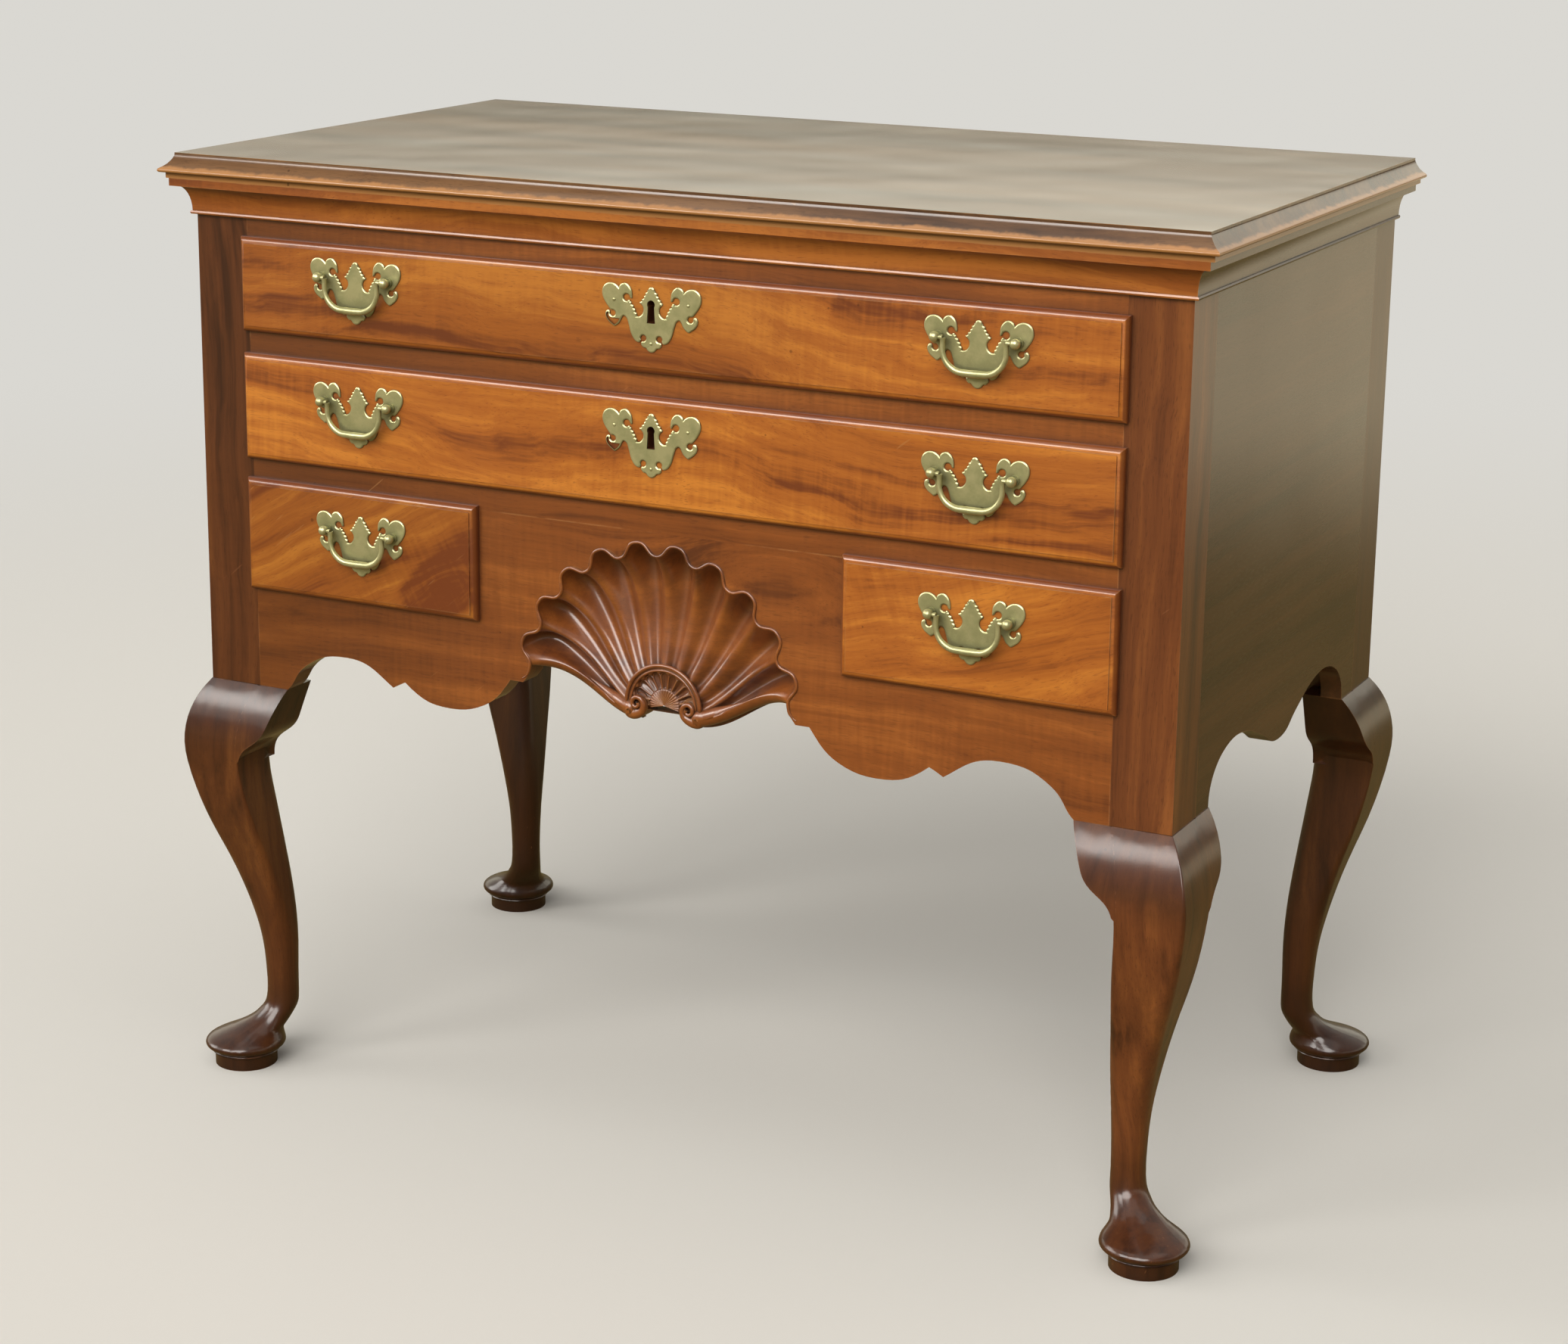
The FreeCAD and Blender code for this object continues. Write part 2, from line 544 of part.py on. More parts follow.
def rail(z0, z1, depth, trim):
    """A rail between the front posts; trim shortens its tenons in height."""
    board = box(-OPEN_HALF, OPEN_HALF, 0, depth, z0, z1)
    tenon = rail_tenon(z0 + trim, z1 - trim)
    return board.fuse([tenon, mirrored(tenon)]).removeSplitter()


def bolt_mortise(open_top):
    """The pocket in a rail that a lock's bolt rises into."""
    half = BOLT_W / 2 + BOLT_FIT
    y0, y1 = bolt_span()
    return box(-half, half, y0 - BOLT_FIT, y1 + BOLT_FIT, open_top, open_top + BOLT_THROW + PLAY)


# ---- Carved shell -------------------------------------------------------------------------------

def rim_angle(flute):
    """Angle on the rim, in radians, for a place counted in flutes from the centre line."""
    half = SHELL_LOBES / 2
    return math.radians(90 - (90 - SHELL_FOOT) * flute / half)


def hub_angle(flute):
    """Angle on the hub, in radians, for the same place."""
    half = SHELL_LOBES / 2
    return math.radians(90 - (90 - SHELL_CURL) * flute / half)


def shell_point(flute, out):
    """A point of the carved surface: flute counts from the centre line, out from hub (0) to rim (1)."""
    side = math.copysign(1.0, flute)
    place = abs(flute)
    across = place - math.floor(place)
    swell = math.sin(math.pi * across)
    lobe = SHELL_LOBE * swell ** 0.8 if swell > 1e-6 else 0.0
    angle = rim_angle(place) + (hub_angle(place) - rim_angle(place)) * (1 - out) ** 2.7
    reach_x = HUB_R + (SHELL_X + lobe - HUB_R) * out
    reach_z = HUB_R + (SHELL_Z + lobe - HUB_R) * out
    wall = 1 - out ** 9
    dish = (HUB_Y + (SHELL_DISH - HUB_Y) * math.sin(math.pi * min(out * 0.9, 0.5))) * wall
    flute_depth = SHELL_FLUTE * (0.35 + 0.65 * out) * swell * wall
    x = side * reach_x * math.cos(angle)
    z = SHELL_BASE + reach_z * math.sin(angle)
    return Vector(x, dish + flute_depth, z)


def shell_face():
    """The carved surface from the hub to the rim."""
    steps = 6
    half = SHELL_LOBES // 2
    flutes = [i / steps for i in range(-half * steps, half * steps + 1)]
    outs = [0.0, 0.15, 0.3, 0.45, 0.6, 0.75, 0.86, 0.93, 0.97, 1.0]
    surface = Part.BSplineSurface()
    surface.interpolate([[shell_point(f, o) for o in outs] for f in flutes])
    return surface.toShape()


def shell_hub():
    """The little shell at the centre with its two scrolls."""
    front = HUB_Y - HUB_RISE
    hub = Part.makeCylinder(HUB_R + HUB_RIM, SHELL_T - front, Vector(0, front, SHELL_BASE),
                            Vector(0, 1, 0))
    low = HUB_R * 2
    hub = hub.cut(box(-low, low, -SHELL_T, 2 * SHELL_T, SHELL_BASE - low, SHELL_BASE - HUB_FLAT))
    hollow = Part.makeSphere(HUB_BOWL, Vector(0, front + HUB_SINK - HUB_BOWL, SHELL_BASE))
    curl = Part.makeCylinder(CURL_R, SHELL_T - HUB_Y + CURL_RISE,
                             Vector(CURL_X, HUB_Y - CURL_RISE, SHELL_BASE), Vector(0, 1, 0))
    return hub.cut(hollow).fuse([curl, mirrored(curl)])


def carved_shell():
    """The shell's block: the carved surface in front, flat behind."""
    body = shell_face().extrude(Vector(0, 2 * SHELL_T, 0))
    if body.Volume < 0:
        body.reverse()
    limit = 2 * SHELL_X
    block = box(-limit, limit, -1, SHELL_T, SHELL_BASE - limit, SHELL_BASE + limit)
    return body.common(block).fuse(shell_hub()).removeSplitter()


def shell_seat():
    """What is sawn out of the apron to let the shell in."""
    face = shell_face()
    face.translate(Vector(0, -2 * SHELL_T, 0))
    prism = face.extrude(Vector(0, 6 * SHELL_T, 0))
    if prism.Volume < 0:
        prism.reverse()
    points = []
    for i in range(13):
        angle = math.radians(15 * i)
        points.append((SHELL_X * SEAT_CORE * math.cos(angle), SHELL_Z * SEAT_CORE * math.sin(angle)))
    fan = polygon([(x, -SHELL_T, SHELL_BASE + z) for x, z in points])
    foot = rim_angle(SHELL_LOBES / 2)
    end_x = SHELL_X * math.cos(foot)
    end_z = SHELL_BASE + SHELL_Z * math.sin(foot)
    mouth = arch_z(LOBE_CURVE[-1][1])
    margin = SHELL_X + SHELL_MARGIN
    bend_x = end_x + (margin - end_x) * 0.15
    right = [(end_x, -SHELL_T, end_z), (bend_x, -SHELL_T, (end_z + mouth) / 2),
             (margin, -SHELL_T, mouth), (margin, -SHELL_T, 0)]
    left = [(-x, y, z) for x, y, z in reversed(right)]
    skirt = polygon(right + left)
    depth = Vector(0, 3 * SHELL_T, 0)
    return [prism, fan.extrude(depth), skirt.extrude(depth)]


# ---- Apron --------------------------------------------------------------------------------------

def arch_z(share):
    """Height on the apron's edge for a share of the rise."""
    return KNEE_Z + ARCH_RISE * share


def apron_edge(points):
    """Part of the apron's right-hand edge in the front plane."""
    near = SHELL_X + SHELL_MARGIN
    way = HALF_W - BRACKET_END - near
    return [(near + way * a, 0, arch_z(b)) for a, b in points]


def apron():
    """The apron: a scalloped board that rises between the short drawers."""
    arch = apron_edge(ARCH_CURVE)
    tip = apron_edge(TIP_CURVE)
    lobe = apron_edge(LOBE_CURVE)
    high = OPEN_3[1]
    low = OPEN_3[0]
    corners = [arch[0], (OPEN_HALF, 0, KNEE_Z), (OPEN_HALF, 0, low), (CENTRE_HALF, 0, low),
               (CENTRE_HALF, 0, high), (0, 0, high), (0, 0, lobe[-1][2]), lobe[-1]]
    edges = [spline(arch), spline(tip), spline(lobe)]
    edges += [line(p, q) for p, q in zip(corners, corners[1:])]
    half = Part.Face(wire_of(edges)).extrude(Vector(0, BOARD_T, 0))
    tenon = rail_tenon(KNEE_Z + TENON_TRIM, low - TENON_TRIM)
    board = half.fuse([mirrored(half), tenon, mirrored(tenon)]).removeSplitter()
    return board.cut(shell_seat())


# ---- Inside the case ----------------------------------------------------------------------------

def inner_side():
    """Inner face of the side boards."""
    return HALF_W - SIDE_T


def runner(z0, z1):
    """The right-hand runner between the rail and the rear post."""
    return box(OPEN_HALF - RUNNER_W, inner_side(), RAIL_T, CASE_D - POST, z0, z1)


def back_face():
    """Front face of the back board."""
    return CASE_D - POST / 2 - BACK_T / 2


def low_runners():
    """The four runners under the short drawers."""
    low = OPEN_3[0]
    outer = box(OPEN_HALF - RUNNER_W, OPEN_HALF, BOARD_T, CASE_D - POST, low - LOW_RUNNER_H, low)
    wing = box(OPEN_HALF, inner_side(), POST, CASE_D - POST, low - LOW_RUNNER_H, low)
    outer = outer.fuse(wing).removeSplitter()
    inner = box(CENTRE_HALF - GUIDE_W, CENTRE_HALF + RUNNER_W, BOARD_T, back_face(),
                low - LOW_RUNNER_H, low)
    return Part.makeCompound([outer, mirrored(outer), inner, mirrored(inner)])


def guides():
    """The strips that steer the drawers, beside them on their runners."""
    solids = []
    for low, _ in (OPEN_1, OPEN_2, OPEN_3):
        front = POST if low == OPEN_3[0] else RAIL_T
        strip = box(OPEN_HALF, inner_side(), front, CASE_D - POST, low, low + GUIDE_H)
        solids += [strip, mirrored(strip)]
    low = OPEN_3[0]
    strip = box(CENTRE_HALF - GUIDE_W, CENTRE_HALF, BOARD_T, back_face(), low, low + GUIDE_H)
    solids += [strip, mirrored(strip)]
    return Part.makeCompound(solids)


def kickers():
    """The strips over the top drawer that stop it from tipping."""
    low = OPEN_1[1]
    strip = box(OPEN_HALF - RUNNER_W, OPEN_HALF, BOARD_T, CASE_D - POST, low, low + KICKER_H)
    wing = box(OPEN_HALF, inner_side(), POST, CASE_D - POST, low, low + KICKER_H)
    return both(strip.fuse(wing).removeSplitter())


def glue_block(x0, y0, along_x):
    """A block in the corner under the top."""
    width = BLOCK_L if along_x else BLOCK
    depth = BLOCK if along_x else BLOCK_L
    return box(x0, x0 + width, y0, y0 + depth, TOP_Z - BLOCK, TOP_Z)


def glue_blocks():
    """Blocks that hold the top to the rail, the sides and the back."""
    solids = []
    for share in (0.25, 0.65):
        x0 = OPEN_HALF * share
        y0 = CASE_D * share
        for block in (glue_block(x0, BOARD_T, True), glue_block(x0, back_face() - BLOCK, True),
                      glue_block(inner_side() - BLOCK, y0, False)):
            solids += [block, mirrored(block)]
    return Part.makeCompound(solids)


# ---- Drawers ------------------------------------------------------------------------------------

def lip_profile(low, high):
    """Rounded front of a drawer as (y, position), from the back of the lip at low to high."""
    square = FACE * 0.35
    half = []
    for i in range(7):
        angle = math.radians(90 * i / 6)
        half.append((square + (FACE + LIP_QUIRK - square) * math.sin(angle),
                     low + LIP_ROUND * (1 - math.cos(angle))))
    half.append((FACE, low + LIP_ROUND))
    other = [(y, high + low - p) for y, p in reversed(half)]
    return [(0, low)] + half + other + [(0, high)]


def front_panel(x0, x1, z0, z1):
    """A lipped front: rounded lip outside the case, square body inside the opening."""
    lip_x0, lip_x1 = x0 - LIP, x1 + LIP
    lip_z0, lip_z1 = z0 - LIP, z1 + LIP
    upright = polygon([(lip_x0, y, z) for y, z in lip_profile(lip_z0, lip_z1)])
    level = polygon([(x, y, lip_z0) for y, x in lip_profile(lip_x0, lip_x1)])
    lip = upright.extrude(Vector(lip_x1 - lip_x0, 0, 0)).common(
        level.extrude(Vector(0, 0, lip_z1 - lip_z0)))
    body = box(x0 + PLAY, x1 - PLAY, 0, FRONT_BACK, z0 + RUN_GAP, z1 - PLAY)
    return lip.fuse(body).removeSplitter()


def tails(x0, x1, z0, z1):
    """Dovetails at the front end of a drawer's side."""
    count = max(2, round((z1 - z0) / TAIL_PITCH))
    pitch = (z1 - z0) / count
    root = pitch * TAIL_SHARE
    tip = root + TAIL_L * TAIL_SLOPE
    solids = []
    for i in range(count):
        z = z0 + pitch * (i + 0.5)
        face = polygon([(x0, FRONT_BACK, z - root), (x0, FRONT_BACK - TAIL_L, z - tip),
                        (x0, FRONT_BACK - TAIL_L, z + tip), (x0, FRONT_BACK, z + root)])
        solids.append(face.extrude(Vector(x1 - x0, 0, 0)))
    return solids


def keyhole(z, y0, y1):
    """The keyhole as a solid to cut with, from y0 to y1."""
    head_z = z + KEY_H / 2 - KEY_HEAD_R
    foot_z = z - KEY_H / 2
    head = Part.makeCylinder(KEY_HEAD_R, y1 - y0, Vector(0, y0, head_z), Vector(0, 1, 0))
    neck = KEY_HEAD_R * 0.78
    slot = polygon([(-neck, y0, head_z), (neck, y0, head_z), (KEY_FOOT / 2, y0, foot_z),
                    (-KEY_FOOT / 2, y0, foot_z)])
    return head.fuse(slot.extrude(Vector(0, y1 - y0, 0)))


def bolt_span():
    """Front and rear face of a lock's bolt."""
    y0 = FRONT_BACK - LOCK_T / 2 - BOLT_T / 2
    return y0, y0 + BOLT_T


def lock_parts(level, top):
    """A lock and its bolt, in the drawer whose body ends at top."""
    key_z = ESC_Z[level] + KEY_UP
    low = key_z - KEY_H / 2 - LOCK_BELOW
    case = box(-LOCK_W / 2, LOCK_W / 2, FRONT_BACK - LOCK_T, FRONT_BACK, low, top)
    y0, y1 = bolt_span()
    bolt_z = key_z + KEY_H / 2 + BOLT_UP
    slot = box(-BOLT_W / 2 - BOLT_FIT, BOLT_W / 2 + BOLT_FIT, y0 - BOLT_FIT, y1 + BOLT_FIT,
               bolt_z - BOLT_FIT, top + 1)
    hole = keyhole(key_z, FRONT_BACK - LOCK_T - 1, FRONT_BACK - LOCK_T + KEY_DEEP)
    bolt = box(-BOLT_W / 2, BOLT_W / 2, y0, y1, bolt_z, top - BOLT_FIT)
    return case, case.cut([slot, hole]), bolt


def drawer(prefix, x0, x1, opening, level, pulls):
    """All the pieces of one drawer, by node name."""
    z0, z1 = opening
    left, right = x0 + PLAY, x1 - PLAY
    low, high = z0 + RUN_GAP, z1 - PLAY
    panel_x0, panel_x1 = left + BOX_SIDE_T - GROOVE, right - BOX_SIDE_T + GROOVE
    bottom = box(panel_x0, panel_x1, FRONT_BACK - GROOVE, BOX_D,
                 low + BOTTOM_UP, low + BOTTOM_UP + BOTTOM_T)
    left_tails = tails(left, left + BOX_SIDE_T, low, high)
    right_tails = tails(right - BOX_SIDE_T, right, low, high)
    left_side = box(left, left + BOX_SIDE_T, FRONT_BACK, BOX_D, low, high)
    left_side = left_side.fuse(left_tails).removeSplitter().cut(bottom)
    right_side = box(right - BOX_SIDE_T, right, FRONT_BACK, BOX_D, low, high)
    right_side = right_side.fuse(right_tails).removeSplitter().cut(bottom)
    back = box(left + BOX_SIDE_T, right - BOX_SIDE_T, BOX_D - BOX_BACK_T, BOX_D,
               low + BOTTOM_UP + BOTTOM_T, high - BOX_BACK_LOW)
    front = front_panel(x0, x1, z0, z1).cut(left_tails + right_tails + [bottom])
    plates = []
    posts = []
    for x in pulls:
        plate, post = pull(x, PULL_Z[level])
        plates.append(plate)
        posts += post
    front = front.cut(posts)
    pieces = {
        prefix + "_drawer_sides": Part.makeCompound([left_side, right_side]),
        prefix + "_drawer_back": back,
        prefix + "_drawer_bottom": bottom,
        prefix + "_pull_plates": Part.makeCompound(plates),
        prefix + "_pull_posts": Part.makeCompound(posts),
    }
    if level < len(ESC_Z):
        case, lock, bolt = lock_parts(level, high)
        key_z = ESC_Z[level] + KEY_UP
        plate, nails = escutcheon(ESC_Z[level])
        front = front.cut([case, keyhole(key_z, FACE - 1, FRONT_BACK)] + nails)
        pieces[prefix + "_lock"] = lock
        pieces[prefix + "_lock_bolt"] = bolt
        pieces[prefix + "_escutcheon"] = Part.makeCompound([plate] + nails)
    pieces[prefix + "_drawer_front"] = front
    for i, x in enumerate(pulls):
        side = ("left", "right")[i] + "_" if len(pulls) > 1 else ""
        pieces[prefix + "_" + side + "bail"] = bail(x, PULL_Z[level] + POST_UP)
    return pieces


# ---- Brasses ------------------------------------------------------------------------------------

def plate_edges(sign):
    """One half of a plate's outline as edges in the plane y = 0; sign is the side."""
    edges = []
    widest = max(x for kind, data in PLATE_CURVE if kind == "spline" for x, _ in data)
    k = PLATE_W / 2 / widest
    for kind, data in PLATE_CURVE:
        if kind == "spline":
            edges.append(spline([(sign * x * k, 0, z * k) for x, z in data]))
            continue
        cx, cz, radius, first, last = (v * k for v in data[:3] + (data[3] / k, data[4] / k))
        points = []
        for i in range(7):
            angle = math.radians(first + (last - first) * i / 6)
            points.append((cx + radius * math.cos(angle), cz + radius * math.sin(angle)))
        edges.append(spline([(sign * x, 0, z) for x, z in points]))
    joined = [edges[0]]
    for edge in edges[1:]:
        end = joined[-1].lastVertex().Point
        start = edge.firstVertex().Point
        if end.distanceToPoint(start) > 1e-6:
            joined.append(Part.LineSegment(end, start).toShape())
        joined.append(edge)
    return joined


def plate_blank(x, z):
    """A batwing plate, its back against the drawer."""
    outline = wire_of(plate_edges(1) + plate_edges(-1))
    plate = Part.Face(outline).extrude(Vector(0, PLATE_T, 0))
    plate.translate(Vector(x, PLATE_FACE, z))
    return plate


def pull(x, z):
    """A pull's plate and its two posts with nuts."""
    plate = plate_blank(x, z)
    pivot_z = z + POST_UP
    solids = []
    bores = []
    for side in (-1, 1):
        px = x + side * POST_HALF
        ball = Part.makeSphere(BALL_R, Vector(px, PIVOT_Y, pivot_z))
        shank = Part.makeCylinder(POST_R, FRONT_BACK + NUT_T + 1 - PIVOT_Y,
                                  Vector(px, PIVOT_Y, pivot_z), Vector(0, 1, 0))
        collar = Part.makeCylinder(COLLAR_R, COLLAR_T, Vector(px, PLATE_FACE - COLLAR_T, pivot_z),
                                   Vector(0, 1, 0))
        bore = Part.makeCylinder(PIN_R + PIN_FIT, POST_HALF - BAIL_HALF,
                                 Vector(px, PIVOT_Y, pivot_z), Vector(-side, 0, 0))
        nut = box(px - NUT / 2, px + NUT / 2, FRONT_BACK, FRONT_BACK + NUT_T,
                  pivot_z - NUT / 2, pivot_z + NUT / 2)
        post = ball.fuse([shank, collar, nut]).removeSplitter()
        solids.append(post.cut(bore))
        bores.append(shank)
    return plate.cut(bores), solids


def bail(x, z):
    """A bail, hanging from its two pins."""
    bend = min(BAIL_BEND, BAIL_HALF - 1, BAIL_DROP - 1)
    y = PIVOT_Y
    grip = BAIL_HALF - bend
    diagonal = bend * (1 - math.sqrt(0.5))
    low = z - BAIL_DROP
    right = [Vector(x + BAIL_HALF, y, low + bend), Vector(x + BAIL_HALF - diagonal, y, low + diagonal),
             Vector(x + grip, y, low)]
    left = [Vector(2 * x - p.x, y, p.z) for p in right]
    top_r = Vector(x + BAIL_HALF, y, z)
    top_l = Vector(x - BAIL_HALF, y, z)
    path = Part.Wire([Part.LineSegment(top_r, right[0]).toShape(), Part.Arc(*right).toShape(),
                      Part.LineSegment(right[2], left[2]).toShape(),
                      Part.Arc(*reversed(left)).toShape(),
                      Part.LineSegment(left[0], top_l).toShape()])
    section = Part.Wire(Part.makeCircle(BAIL_R, top_r, Vector(0, 0, -1)))
    bar = path.makePipeShell([section], True, False)
    reach = POST_HALF - BAIL_HALF - PIN_FIT
    solids = []
    for side, top in ((1, top_r), (-1, top_l)):
        solids.append(Part.makeSphere(BAIL_R, top))
        solids.append(Part.makeCylinder(PIN_R, reach, top, Vector(side, 0, 0)))
    return bar.fuse(solids).removeSplitter()


def escutcheon(z):
    """An escutcheon with its keyhole, and its three nails."""
    plate = plate_blank(0, z)
    plate = plate.cut(keyhole(z + KEY_UP, PLATE_FACE - 1, FACE + 1))
    nails = []
    for nx, nz in ((-32.5, 13.5), (32.5, 13.5), (0.0, -18.5)):
        shank = Part.makeCylinder(NAIL_SHANK, NAIL_L, Vector(nx, PLATE_FACE, z + nz),
                                  Vector(0, 1, 0))
        head = Part.makeSphere(NAIL_R, Vector(nx, PLATE_FACE + NAIL_R * 0.45, z + nz))
        front = box(nx - NAIL_R, nx + NAIL_R, PLATE_FACE - NAIL_R, PLATE_FACE,
                    z + nz - NAIL_R, z + nz + NAIL_R)
        nails.append(head.common(front).fuse(shank).removeSplitter())
    return plate.cut(nails), nails


# ---- Assembly -----------------------------------------------------------------------------------

def rail_levels():
    """Lower edge, upper edge, depth and tenon trim of the three rails, from the top."""
    return {
        "top_rail": (OPEN_1[1], TOP_Z, BOARD_T, TOP_RAIL_TRIM),
        "upper_rail": (OPEN_2[1], OPEN_1[0], RAIL_T, RAIL_TRIM),
        "middle_rail": (OPEN_3[1], OPEN_2[0], RAIL_T, RAIL_TRIM),
    }


def build_case():
    """Every fixed piece of the case, by node name."""
    blank = leg_blank()
    rails = {name: rail(*sizes) for name, sizes in rail_levels().items()}
    front_cuts = side_tenons() + [rail_tenon(KNEE_Z + TENON_TRIM, OPEN_3[0] - TENON_TRIM)]
    for z0, z1, _, trim in rail_levels().values():
        front_cuts.append(rail_tenon(z0 + trim, z1 - trim))
    front_right = leg(blank, front_cuts)
    rear_cuts = [turned_back(c) for c in side_tenons() + [back_tenon()]]
    rear_right = turned_back(leg(blank, rear_cuts))
    front_bracket = knee_bracket()
    side_brackets = both(side_bracket(front_bracket))
    pieces = {
        "top_board": top_board(),
        "front_cornice": cornice(0),
        "right_cornice": cornice(1),
        "left_cornice": mirrored(cornice(1)),
        "front_right_leg": front_right,
        "front_left_leg": mirrored(front_right),
        "rear_right_leg": rear_right,
        "rear_left_leg": mirrored(rear_right),
        "front_knee_brackets": both(front_bracket),
        "side_knee_brackets": Part.makeCompound([side_brackets, turned_back(side_brackets)]),
        "right_side": side_board(),
        "left_side": mirrored(side_board()),
        "back_board": back_board(),
        "top_rail": rails["top_rail"].cut(bolt_mortise(OPEN_1[1])),
        "upper_rail": rails["upper_rail"].cut(bolt_mortise(OPEN_2[1])),
        "middle_rail": rails["middle_rail"],
        "apron": apron(),
        "carved_shell": carved_shell(),
        "upper_runners": both(runner(OPEN_2[1], OPEN_1[0])),
        "middle_runners": both(runner(OPEN_3[1], OPEN_2[0])),
        "lower_runners": low_runners(),
        "drawer_guides": guides(),
        "top_kickers": kickers(),
        "glue_blocks": glue_blocks(),
    }
    return pieces


def build_drawers():
    """Every piece of the four drawers, by node name."""
    pieces = {}
    pulls = (-PULL_X, PULL_X)
    pieces.update(drawer("top", -OPEN_HALF, OPEN_HALF, OPEN_1, 0, pulls))
    pieces.update(drawer("second", -OPEN_HALF, OPEN_HALF, OPEN_2, 1, pulls))
    pieces.update(drawer("left", -OPEN_HALF, -CENTRE_HALF, OPEN_3, 2, (-PULL_X,)))
    pieces.update(drawer("right", CENTRE_HALF, OPEN_HALF, OPEN_3, 2, (PULL_X,)))
    return pieces


for node, solid in {**build_case(), **build_drawers()}.items():
    export(node, solid)
print("shift y", SHIFT_Y)
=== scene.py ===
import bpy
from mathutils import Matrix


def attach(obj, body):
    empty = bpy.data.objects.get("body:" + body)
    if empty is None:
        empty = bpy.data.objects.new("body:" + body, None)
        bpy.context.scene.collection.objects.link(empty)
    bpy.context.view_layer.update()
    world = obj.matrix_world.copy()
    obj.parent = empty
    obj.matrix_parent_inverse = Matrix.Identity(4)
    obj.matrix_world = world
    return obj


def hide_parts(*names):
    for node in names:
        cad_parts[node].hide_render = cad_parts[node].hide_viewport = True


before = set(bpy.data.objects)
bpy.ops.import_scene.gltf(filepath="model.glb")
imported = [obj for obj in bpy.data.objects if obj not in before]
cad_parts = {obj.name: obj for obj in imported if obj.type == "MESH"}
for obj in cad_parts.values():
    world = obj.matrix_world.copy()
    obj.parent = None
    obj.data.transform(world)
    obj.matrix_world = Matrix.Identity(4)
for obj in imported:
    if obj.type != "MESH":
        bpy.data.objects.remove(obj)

"""The looks of a mahogany lowboy: polished wood, a carved shell and aged brass.

Everything is in metres in the frame's own axes: +Z up, the front towards -Y, the floor at z = 0.
"""

import logging
import math
from dataclasses import dataclass, replace
from enum import Enum
from typing import Any, Callable, Iterable, Optional, Sequence, Union

import bmesh
import bpy
import numpy as np
from mathutils import Matrix, Vector
from mathutils.bvhtree import BVHTree
from mathutils.geometry import tessellate_polygon

LOG = logging.getLogger("lowboy")
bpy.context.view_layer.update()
MM = 0.001

Colour = tuple[float, float, float]
Point = tuple[float, float, float]
Socket = bpy.types.NodeSocket
Value = Union[Socket, float, int, bool, Sequence[float]]

WARM_WHITE: Colour = (1.0, 0.98, 0.94)
MIX_SHARE, MIX_A, MIX_B, MIX_RESULT = 0, 6, 7, 2


class Along(Enum):
    """Which way a board's grain runs."""

    ACROSS = "x"
    DEEP = "y"
    UPRIGHT = "z"


# ---- Node trees ----------------------------------------------------------------------------------

